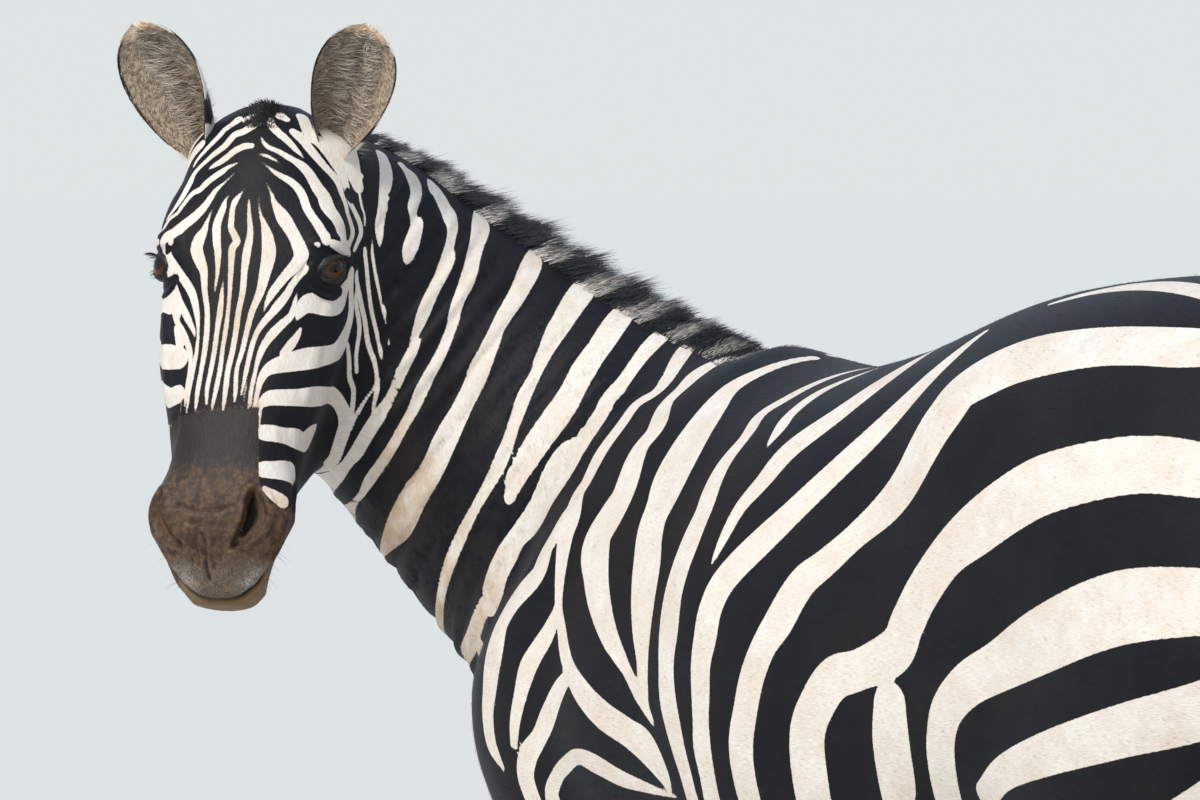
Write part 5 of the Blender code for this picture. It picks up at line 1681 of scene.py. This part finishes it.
def crest_line(share):
    """The ray frame on the neck's crest, running on past the withers."""
    held = min(max(share, 0), 1)
    at = held * NECK_CURVE_STEPS
    i = int(min(math.floor(at), NECK_CURVE_STEPS - 1))
    one, two = FRAMES[i], FRAMES[i + 1]
    place, left, up, ahead = (a.lerp(b, at - i) for a, b in zip(one, two))
    return place + ahead * (share - held) * NECK_LENGTH, left, up, ahead


def mane_hair(skin, surface, look, count=15000):
    """An upright brush along the crest, where the neck's stripes run up to its dark tips."""
    rows = smooth_rows(MANE, 4)
    shares = spare.uniform(MANE[0].share, MANE[-1].share, count)
    offsets = np.clip(spare.normal(0, 0.5, count), -1.15, 1.15)
    heights = np.interp(shares, rows[:, 0], rows[:, 1]) + 0.011
    lock = 1 + 0.16 * np.sin(shares * 173) + 0.12 * np.sin(shares * 61 + 1) + 0.10 * np.sin(shares * 401 + 2)
    crest = [crest_line(share) for share in shares]
    places, lefts, ups, aheads = (np.array(vectors) for vectors in zip(*crest))
    aside = lefts * offsets[:, None]
    rays = [(Vector(place), Vector(way).normalized()) for place, way in zip(places, ups + aside * 0.17)]
    roots = on_skin(surface, rays)
    lean = np.sin(shares * 240 + offsets * 3) * 0.10
    ways = jitter(unit(ups + aside * 0.40 - aheads * 0.42) - aheads * lean[:, None], 0.10)
    heights = heights * (0.25 + 0.75 * smoothstep(shares, -0.06, 0.14))
    lengths = (heights + 0.004) * lock * spare.uniform(0.75, 1.30, count) * (1 - 0.35 * np.abs(offsets))
    rays = [
        ray_of("neck", min(max(share, 0), 1), MANE_READS, 1 if offset > 0 else -1)
        for share, offset in zip(shares, offsets)
    ]
    white = skin.at(on_skin(surface, rays))["white"]
    widths = spare.uniform(0.0007, 0.0013, count)
    made = spikes("mane_hair", roots - ways * 0.003, ways, lefts, lengths + 0.003, widths, look,
                  skin.at(roots)["uv"], {"white": white}, bend=-aheads * 0.25, levels=2, flat=0.6)
    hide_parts("mane")


def forelock_hair(skin, surface, look, count=1000):
    """A short upright tuft on the poll."""
    axes = head_axes()
    turn = axes.to_3x3()
    aim = np.array(turn)
    level, half_width = FORELOCK
    across = spare.normal(0, 0.42, count)
    along = spare.uniform(-0.030, 0.022, count)
    rays = []
    for a, nose in zip(across, along):
        way = turn @ Vector((0, nose - 0.02, 0.15 + level)).normalized()
        rays.append((axes @ Vector((a * half_width * 0.8, 0.02, -0.09)), way))
    roots = on_skin(surface, rays)
    aside = aim[:, 0][None] * (across * 0.7)[:, None]
    ways = jitter(unit((aim[:, 2] - aim[:, 1])[None] * 0.75 + aside), 0.16)
    lengths = spare.uniform(0.008, 0.020, count) * (1 - 0.5 * np.minimum(np.abs(across), 1))
    normals, bend = (np.tile(way, (count, 1)) for way in (aim[:, 2], aim[:, 1] * 0.35))
    widths = spare.uniform(0.0007, 0.0012, count)
    made = spikes("forelock_hair", roots - ways * 0.003, ways, normals, lengths, widths, look,
                  skin.at(roots)["uv"], unmarked(count), bend=bend, levels=3, flat=0.6)
    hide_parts("forelock")


def tail_hair(skin, surface, look, count=3800):
    """The tuft: long hair from the end of the dock."""
    rows = smooth_rows(TAIL, 6)
    tuft = smooth_rows(TUFT, 6)
    z = spare.uniform(0.0, 1.0, count) ** 0.8 * (0.93 - 0.752) + 0.752
    y = np.interp(z, rows[::-1, 1], rows[::-1, 0])
    turn = spare.uniform(0, 2 * math.pi, count)
    out = np.stack([np.cos(turn), np.sin(turn), np.zeros(count)], axis=1)
    rays = [(Vector((0, b, c)), Vector((*way[:2], -0.15)).normalized()) for b, c, way in zip(y, z, out)]
    roots = on_skin(surface, rays)
    low = np.where(z > 0.84, z - spare.uniform(0.05, 0.16, count), spare.uniform(0.430, 0.66, count))
    middle, radius = (np.interp(low, tuft[::-1, 1], tuft[::-1, i]) for i in (0, 2))
    ends = out * (radius * spare.uniform(0.15, 0.95, count))[:, None]
    ends = ends + np.stack([np.zeros(count), middle, low], axis=1)
    reach = ends - roots
    lengths = np.linalg.norm(reach, axis=1)
    bend = out * spare.uniform(0.02, 0.11, count)[:, None]
    ways = reach / lengths[:, None] + bend
    widths = spare.uniform(0.0010, 0.0021, count)
    made = spikes("tail_hair", roots, ways, out, lengths, widths, look, skin.at(roots)["uv"], unmarked(count),
                  bend=-bend, levels=6, flat=0.5, curl=0.012)
    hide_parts("tail_tuft")


def ear_rows(share, high, last):
    """The steps up the ear for these shares of its length."""
    rows = smooth_rows(EAR, 8)[:, 0]
    return np.clip(np.interp(share, rows, np.arange(high)).round().astype(int), 0, last)


def ear_tone(share, turn):
    return {"ear": np.stack([share, turn, np.ones(len(share))], axis=1)}


def ear_hair(name, grid, normals, look, count=5200):
    """Pale wavy down in the ear, long and leaning over the cup on its inner side, short on its outer side."""
    high, wide = grid.shape[1:3]
    share = spare.uniform(0.02, 0.97, count)
    turn = np.clip(spare.uniform(-1.0, 1.0, count), -0.985, 0.985)
    i = ear_rows(share, high, high - 1)
    j = ((turn * 0.5 + 0.5) * (wide - 1)).round().astype(int)
    roots, out = grid[1, i, j], normals[1, i, j]
    over = grid[1, i, np.clip(j + 1, 0, wide - 1)] - grid[1, i, np.clip(j - 1, 0, wide - 1)]
    along = grid[1, np.clip(i + 1, 0, high - 1), j] - grid[1, np.clip(i - 1, 0, high - 1), j]
    roots = roots + over * spare.uniform(-0.25, 0.25, count)[:, None]
    roots = roots + along * spare.uniform(-0.25, 0.25, count)[:, None]
    out_of_head = np.array(head_axes().to_3x3())[:, 0] * (1 if name.endswith("left") else -1)
    hand = np.sign((grid[1, high // 2, -1] - grid[1, high // 2, 0]) @ out_of_head)
    inner_side = smoothstep(turn * hand, 0.30, -0.05)
    swirl = np.sin(share * 25 + turn * 9) * 0.35 + np.sin(share * 57 - turn * 21) * 0.22
    over_part = hand * (inner_side * 0.85 - (1 - inner_side) * 0.35) + swirl * 0.6
    along_part = inner_side * (-0.30 + 0.95 * share) + (1 - inner_side) * 0.85 + swirl * 0.5
    rise = 0.32 + 0.13 * inner_side
    ways = unit(over) * over_part[:, None] + unit(along) * along_part[:, None] + out * rise[:, None]
    ways = jitter(unit(ways), 0.10)
    lengths = spare.uniform(0.55, 1.1, count) * (0.012 + 0.021 * inner_side) * (1.1 - 0.6 * share**4)
    lengths = lengths * (1.05 - 0.5 * np.abs(turn) ** 4)
    widths = spare.uniform(0.0005, 0.0010, count)
    spikes(name, roots - out * 0.0006, ways, out, lengths, widths, look, ear_map(share, turn, 1),
           ear_tone(share, turn), bend=-out * 0.40, levels=4, flat=0.5, curl=0.06)


def ear_fringe(name, grid, normals, look, count, reach, longest):
    """Short hair that stands past the ear's rim, over a reach of its length."""
    high, wide = grid.shape[1:3]
    share = spare.uniform(*reach, count)
    side = np.where(spare.uniform(0, 1, count) < 0.5, 0, wide - 1)
    i = ear_rows(share, high, high - 2)
    step = grid[0, i + 1, side] - grid[0, i, side]
    roots = 0.5 * (grid[0, i, side] + grid[1, i, side]) + step * spare.uniform(0, 1, count)[:, None]
    away = unit(grid[0, i, side] - grid[0, i, np.where(side == 0, 2, wide - 3)])
    ways = jitter(unit(away * 0.55 + unit(step)), 0.16)
    lengths = spare.uniform(0.4, 1.0, count) * longest
    turn = np.where(side == 0, -0.98, 0.98)
    widths = spare.uniform(0.0005, 0.0009, count)
    spikes(name, roots, ways, normals[0, i, side], lengths, widths, look, ear_map(share, turn, 1),
           ear_tone(share, turn), flat=0.5)


def coronet(name, x, y, skin, surface, look, count=900):
    """The hair that falls over the top of a hoof."""
    turns = spare.uniform(0, 2 * math.pi, count)
    heights = spare.uniform(0.078, 0.094, count)
    away = np.stack([np.cos(turns), np.sin(turns), np.zeros(count)], axis=1)
    roots = on_skin(surface, [(Vector((x, y, height)), Vector(way)) for height, way in zip(heights, away)])
    on_leg = np.hypot(roots[:, 0] - x, roots[:, 1] - y) < CORONET_REACH
    roots, away = roots[on_leg], away[on_leg]
    count = len(roots)
    found = skin.at(roots)
    ways = jitter(unit(away * 0.75 + np.array([0, 0, -1.0])), 0.10)
    lengths = spare.uniform(0.014, 0.022, count)
    widths = spare.uniform(0.0008, 0.0014, count)
    spikes(name, roots - away * 0.001, ways, away, lengths, widths, look, found["uv"], marked(found),
           bend=np.tile([0, 0, -0.35], (count, 1)), levels=2, flat=0.5)


def lid_edge(x, rise):
    """Height of a lid's edge on the eyeball, for places along the slit from its back to its front corner."""
    wide = math.sin(math.radians(LID_LONG))
    return math.sin(math.radians(rise)) * np.sqrt(np.clip(1 - (x * 0.97 / wide) ** 2, 0.0, 1))


def lashes(name, side, skin, look, count=150):
    """Dark lashes on the upper lid and a few shorter ones below."""
    axes, middle = gaze_axes(side), eye_middle(side)
    lower = spare.uniform(0, 1, count) < 0.18
    x = spare.uniform(-0.80, 0.80, count)
    lid = np.where(lower, -lid_edge(x, LOWER_LID + LASH_OVER), lid_edge(x, UPPER_LID + LASH_OVER))
    own = np.stack([x, lid, np.sqrt(np.maximum(1.0 - x**2 - lid**2, 0.05))], axis=1)
    roots = middle + (own * (EYE_RADIUS + 0.0006)) @ axes.T
    ways = unit(np.stack([x * 0.25, np.where(lower, -0.55, 0.20), np.full(count, 0.85)], axis=1))
    lengths = np.where(lower, spare.uniform(0.003, 0.006, count), spare.uniform(0.009, 0.016, count))
    bend = axes[:, 1][None] * np.where(lower, -0.1, -0.32)[:, None]
    ways = jitter(ways @ axes.T, 0.07)
    widths = spare.uniform(0.0004, 0.0007, count)
    spikes(name, roots, ways, np.tile(axes[:, 1], (count, 1)), lengths, widths, look, skin.at(roots)["uv"],
           unmarked(count), bend=bend, levels=3, flat=0.7)


def whiskers(name, skin, surface, look, count=100):
    """Fine hairs on the lips and chin."""
    axes = head_axes()
    turn = axes.to_3x3()
    down_nose = np.array(turn)[:, 1]
    rays = []
    for _ in range(count):
        around = math.radians(spare.uniform(-150, 150))
        station = spare.uniform(0.425, 0.500)
        way = Vector((math.sin(around), (station - 0.43) * 9, math.cos(around) - 0.3))
        rays.append((axes @ Vector((0, min(station, 0.455), -0.075)), (turn @ way).normalized()))
    roots = on_skin(surface, rays)
    ways = jitter(unit(np.array([ray[1] for ray in rays]) + down_nose[None] * 0.35), 0.15)
    found = skin.at(roots)
    lengths = spare.uniform(0.006, 0.018, count)
    spikes(name, roots, ways, found["normals"], lengths, np.full(count, 0.00030), look, found["uv"],
           unmarked(count), bend=np.tile(down_nose * 0.25, (count, 1)), levels=3, flat=0.8)


# ---- floor, light and camera
VIEW_TURN = 140.0  # degrees from the body's left to the right of the view
VIEW_MIDDLE = (-0.358, -0.34, 1.23)  # middle of the view: to its right, towards the camera and up
VIEW_DISTANCE = 15.0
VIEW_RISE = 0.27  # of the camera above the middle of the view
VIEW_WIDTH = 1.2  # of what the camera sees at the middle
HORIZON, ZENITH = (0.985, 1.03, 1.03), (0.55, 0.72, 0.98)
FLOOR, FLOOR_RADIUS = (0.67, 0.655, 0.615), 320.0


def camera():
    turn = math.radians(VIEW_TURN)
    right = Vector((math.cos(turn), math.sin(turn), 0))
    near = Vector((math.sin(turn), -math.cos(turn), 0))
    middle = right * VIEW_MIDDLE[0] + near * VIEW_MIDDLE[1] + Vector((0, 0, VIEW_MIDDLE[2])) + BODY_OFFSET
    made = bpy.data.objects.new("camera", bpy.data.cameras.new("camera"))
    bpy.context.scene.collection.objects.link(made)
    made.location = middle + near * VIEW_DISTANCE + Vector((0, 0, VIEW_RISE))
    made.rotation_mode = "QUATERNION"
    made.rotation_quaternion = (middle - made.location).to_track_quat("-Z", "Y")
    made.data.sensor_width = 36
    made.data.lens = 36 * VIEW_DISTANCE / VIEW_WIDTH
    made.data.clip_start, made.data.clip_end = 0.1, 400
    bpy.context.scene.camera = made
    return right, near, middle


def sun(place, aim):
    """The one soft lamp."""
    data = bpy.data.lights.new("key", "SUN")
    data.energy, data.color, data.angle = 2.7, (1.0, 0.965, 0.91), 0.35
    made = bpy.data.objects.new("key", data)
    bpy.context.scene.collection.objects.link(made)
    made.location = place
    made.rotation_mode = "QUATERNION"
    made.rotation_quaternion = (aim - place).to_track_quat("-Z", "Y")


def sky():
    """Light from all round, paler at the level of the floor than overhead."""
    world = bpy.data.worlds.new("studio")
    bpy.context.scene.world = world
    world.use_nodes = True
    tree = world.node_tree
    background = tree.nodes["Background"]
    background.inputs["Strength"].default_value = 0.75
    place = tree.nodes.new("ShaderNodeTexCoord")
    parts = tree.nodes.new("ShaderNodeSeparateXYZ")
    mix = tree.nodes.new("ShaderNodeMix")
    mix.data_type = "RGBA"
    mix.inputs[6].default_value, mix.inputs[7].default_value = (*HORIZON, 1), (*ZENITH, 1)
    tree.links.new(place.outputs["Generated"], parts.inputs[0])
    tree.links.new(parts.outputs[2], mix.inputs[0])
    tree.links.new(mix.outputs[2], background.inputs["Color"])


def stage():
    bm = bmesh.new()
    bmesh.ops.create_circle(bm, cap_ends=True, segments=96, radius=FLOOR_RADIUS)
    floor = mesh_object("floor", bm)
    plain = Nodes("studio floor")
    floor.data.materials.append(plain.set(Base_Color=FLOOR, Roughness=0.9, Specular_IOR_Level=0.2))
    sky()
    right, near, middle = camera()
    sun(middle + near * 4 - right * 2.4 + Vector((0, 0, 4.2)), middle)
    bpy.context.scene.view_settings.view_transform = "Standard"


# ---- all of it
FLESH = ("head", "neck", "trunk", "tail", "foreleg_left", "foreleg_right", "hindleg_left", "hindleg_right")
COAT_DEPTH = (0.0028, 0.0014)  # how far the skin lies inside the flesh, on the body and on the head
COAT_COUNT = 48000  # tufts in each piece of the coat


def unwrapped(made):
    """The OFBake map: an unwrap of the skin's own shape, enlarged at the head to keep the face's detail."""
    mesh = made.data
    layer = mesh.uv_layers.new(name="OFBake")
    copy = bpy.data.objects.new("unwrap", mesh.copy())
    bpy.context.scene.collection.objects.link(copy)
    places = numbers(mesh, "co")
    more = 1 + 1.3 * head_share(places)[:, None]
    place_at(copy.data, np.array(POLL) + (places - np.array(POLL)) * more)
    bpy.context.view_layer.objects.active = copy
    for other in bpy.context.selected_objects:
        other.select_set(False)
    copy.select_set(True)
    bpy.ops.object.mode_set(mode="EDIT")
    bpy.ops.mesh.select_all(action="SELECT")
    bpy.ops.uv.smart_project(angle_limit=1.15, island_margin=0.002, scale_to_bounds=True)
    bpy.ops.object.mode_set(mode="OBJECT")
    values = np.empty(len(mesh.loops) * 2, np.float32)
    copy.data.uv_layers["OFBake"].data.foreach_get("uv", values)
    layer.data.foreach_set("uv", values)
    bpy.data.objects.remove(copy)


def lie_map(mesh, points, head_part):
    """A map for the fur's bump, along and across the way it lies. It has a jump where the charts meet."""
    local, neck = in_head(points), in_neck(points)
    on_head, on_legs = head_part > 0.5, points[:, 2] < 0.68
    on_neck = (neck[:, 0] > 0.10) & (points[:, 1] < -0.30) & ~on_head
    places = [on_head, on_neck, on_legs]
    along = np.select(places, [local[:, 1], -neck[:, 0] * NECK_LENGTH, -points[:, 2]], points[:, 1])
    turns = [  # round the head, the neck and a leg, times about how far each reaches from its middle
        np.arctan2(local[:, 0], local[:, 2] - HEAD_LEVEL) * 0.09,
        np.arctan2(neck[:, 1], neck[:, 2]) * 0.17,
        np.arctan2(np.abs(points[:, 0]) - 0.134, points[:, 1]) * 0.05,
    ]
    turn = np.select(places, turns, np.arctan2(points[:, 0], points[:, 2] - 1.0) * 0.30)
    layer = mesh.uv_layers.new(name="lie")
    where = np.stack([turn, along], axis=1)[corner_points(mesh)]
    layer.data.foreach_set("uv", where.astype(np.float32).ravel())


MUZZLE_EDGE = (  # degrees to the left, and where the muzzle's bare brown begins
    (-85, 0.405),
    (-68, 0.392),
    (-58, 0.330),
    (24, 0.318),
    (31, 0.400),
    (38, 0.418),
    (50, 0.420),
    (64, 0.408),
)


def tone_of(points, shade):
    """How much muzzle, lip, dust and grey hair each point has. On the muzzle, dust is how warm its brown is.

    Grey is below 0 where painted shade darkens the creases, and lip is below 0 inside the nostrils.
    """
    local = in_head(points)
    head_part = head_share(points)
    nose = local[:, 1]
    degrees = np.degrees(np.arctan2(local[:, 0], local[:, 2] - HEAD_LEVEL))
    edge = np.interp(degrees, *zip(*MUZZLE_EDGE))
    muzzle = head_part * smoothstep(nose - edge, -0.012, 0.010)
    off = local[:, 2] - mouth_level(nose)
    in_front = 0.25 + 0.75 * smoothstep(np.abs(local[:, 0] - 0.004), 0.050, 0.040)
    lip = head_part * smoothstep(off, -0.0015, -0.0035) * smoothstep(nose, 0.435, 0.455)
    lip = lip * smoothstep(off, -0.042, -0.020) * in_front
    sides = smoothstep(np.abs(degrees - 2), 22, 46)
    grey = head_part * smoothstep(nose, 0.462, 0.490) * (0.30 + 0.70 * sides) * smoothstep(off, -0.001, 0.003)
    own = in_neck(points)
    throat = smoothstep(own[:, 2], -0.02, -0.12) * smoothstep(own[:, 0], 0.0, 0.15) * (points[:, 1] < -0.3)
    dust = 0.25 + 0.6 * throat * (1 - head_part) + 0.4 * smoothstep(points[:, 2], 0.55, 0.10)
    middle = np.exp(-(((degrees + 3) / 24) ** 2)) * smoothstep(nose, 0.02, 0.08)
    faced = 0.12 + 0.50 * middle + 0.55 * smoothstep(nose - edge, -0.028, 0.0)
    dust = np.where(head_part > 0.5, faced, dust)
    warm = smoothstep(nose, 0.335, 0.435)
    lip = np.where((shade < -0.04) & (muzzle > 0.5), shade, lip)
    # the creases' painted shade goes into grey, below 0
    grey = np.where((shade > 0.04) & (muzzle > 0.5), -shade, grey)
    return np.stack([muzzle, lip, np.where(muzzle > 0.5, warm, np.clip(dust, 0, 1)), grey], axis=1)


def finer(skin, laid):
    """Splits the skin's mesh at the head, along the edges of the stripes and at the muzzle."""

    def near_edge(points, within):
        return np.abs(white_at(points, numbers(skin.data, "normal"), laid)) < within

    def on_face_stripes(points):
        nose = in_head(points)[:, 1]
        return near_edge(points, 0.004) & (head_share(points) > 0.5) & (nose > 0.03) & (nose < 0.34)

    refined(skin, lambda p: near_edge(p, 0.010) & (head_share(p) < 0.3), 6)
    refined(skin, on_face_stripes, 3)
    refined(skin, lambda p: (head_share(p) > 0.5) & (in_head(p)[:, 1] > 0.395), 4)


def skin_and_markings():
    """The skin with its finer forms and markings, and the arrays that hair grows from."""
    skin = flesh()
    skin.name = "skin"
    refined(skin, lambda p: head_share(p) > 0.02, 10)
    refined(skin, lambda p: head_share(p) > 0.5, 12)
    mesh = skin.data
    laid = all_strokes(Surface(mesh))
    finer(skin, laid)
    points, normals = numbers(mesh, "co"), numbers(mesh, "normal")
    head_part = head_share(points)
    forms, shade = formed(points, normals, Surface(mesh))
    depth = COAT_DEPTH[0] + (COAT_DEPTH[1] - COAT_DEPTH[0]) * head_part - forms
    place_at(mesh, points - normals * depth[:, None])
    smoothed(skin)
    unwrapped(skin)
    arrays = Skin(skin)
    points, normals = arrays.points, arrays.normals
    white, tone = white_at(points, normals, laid), tone_of(points, shade)
    arrays.fields = {"white": white, "tone": tone, "lie": lie_of(points, normals)}
    put_field(mesh, "white", white)
    put_field(mesh, "tone", tone)
    lie_map(mesh, points, head_part)
    mesh.materials.append(coat_material("zebra coat", False))
    return skin, arrays, head_part


def coat(arrays, head_part, look):
    """The short fur, in four pieces, with its length, width and lift."""
    points = arrays.points
    on_neck = (in_neck(points)[:, 0] > 0.0) & (points[:, 1] < -0.30) & (head_part < 0.5)
    rest = ~on_neck & (head_part < 0.5)
    for name, weight, length, width, lift in (
        ("coat_head", head_part, 0.0042, 0.0005, 0.06),
        ("coat_neck", on_neck * 1.0, 0.0062, 0.0007, 0.07),
        ("coat_fore", (rest & (points[:, 1] < 0.0)) * 1.0, 0.0075, 0.0009, 0.07),
        ("coat_rear", (rest & (points[:, 1] >= 0.0)) * 1.0, 0.0075, 0.0009, 0.07),
    ):
        short_coat(arrays, name, look, COAT_COUNT, weight, length, width, lift)


def long_hair(arrays, surface):
    look = hair_material("mane hair", (0.007, 0.008, 0.012), (0.009, 0.010, 0.014), edge=0.80)
    mane_hair(arrays, surface, look)
    forelock_hair(arrays, surface, look)
    tail_hair(arrays, surface, hair_material("tail hair", (0.016, 0.013, 0.012), (0.020, 0.016, 0.014)))


def ears():
    look = ear_material()
    # the down darkens towards its roots: painted shade between its pale hairs
    down = hair_material("ear down", (0.30, 0.22, 0.155), (0.88, 0.78, 0.65), 0.6, 0.45)
    fringe = hair_material("ear fringe", (0.62, 0.48, 0.34), (0.88, 0.84, 0.78), 0.6, 0.2)
    rim = hair_material("ear rim", (0.008, 0.007, 0.007), (0.012, 0.010, 0.010), 0.5, 0.3)
    for hand, side, way in (("left", 1, EAR_WAYS[0]), ("right", -1, EAR_WAYS[1])):
        grid, outs = ear(f"ear_shell_{hand}", side, way, look, f"ear_{hand}")
        ear_hair(f"ear_down_{hand}", grid, outs, down)
        ear_fringe(f"ear_fringe_{hand}", grid, outs, fringe, 900, (0.84, 1.0), 0.0060)
        ear_fringe(f"ear_rim_{hand}", grid, outs, rim, 1500, (0.12, 0.86), 0.0034)


def eyes(arrays):
    eye_look, lid_look = eye_material(), lid_material()
    dark = hair_material("lashes", (0.006, 0.005, 0.005), (0.010, 0.008, 0.008))
    for hand, side in (("left", 1), ("right", -1)):
        eyeball(f"eyeball_{hand}", side, eye_look)
        lids(f"lids_{hand}", side, lid_look)
        lashes(f"lashes_{hand}", side, arrays, dark)


def hooves(arrays, surface, tufted):
    horn = horn_material()
    for slices, word in ((FORE_LEG, "fore"), (HIND_LEG, "hind")):
        end = slices[-1]
        for side, hand in ((1, "left"), (-1, "right")):
            hoof(f"horn_{word}_{hand}", side * end.x, end.y, horn)
            coronet(f"coronet_{word}_{hand}", side * end.x, end.y, arrays, surface, tufted)


def main():
    skin, arrays, head_part = skin_and_markings()
    surface = Surface(skin.data)
    tufted = coat_material("zebra coat tufts", True)
    coat(arrays, head_part, tufted)
    long_hair(arrays, surface)
    ears()
    eyes(arrays)
    look = hair_material("whiskers", (0.10, 0.08, 0.07), (0.30, 0.26, 0.22))
    whiskers("whiskers", arrays, surface, look)
    hooves(arrays, surface, tufted)
    finish_piece(skin, FLESH)
    stage()


main()
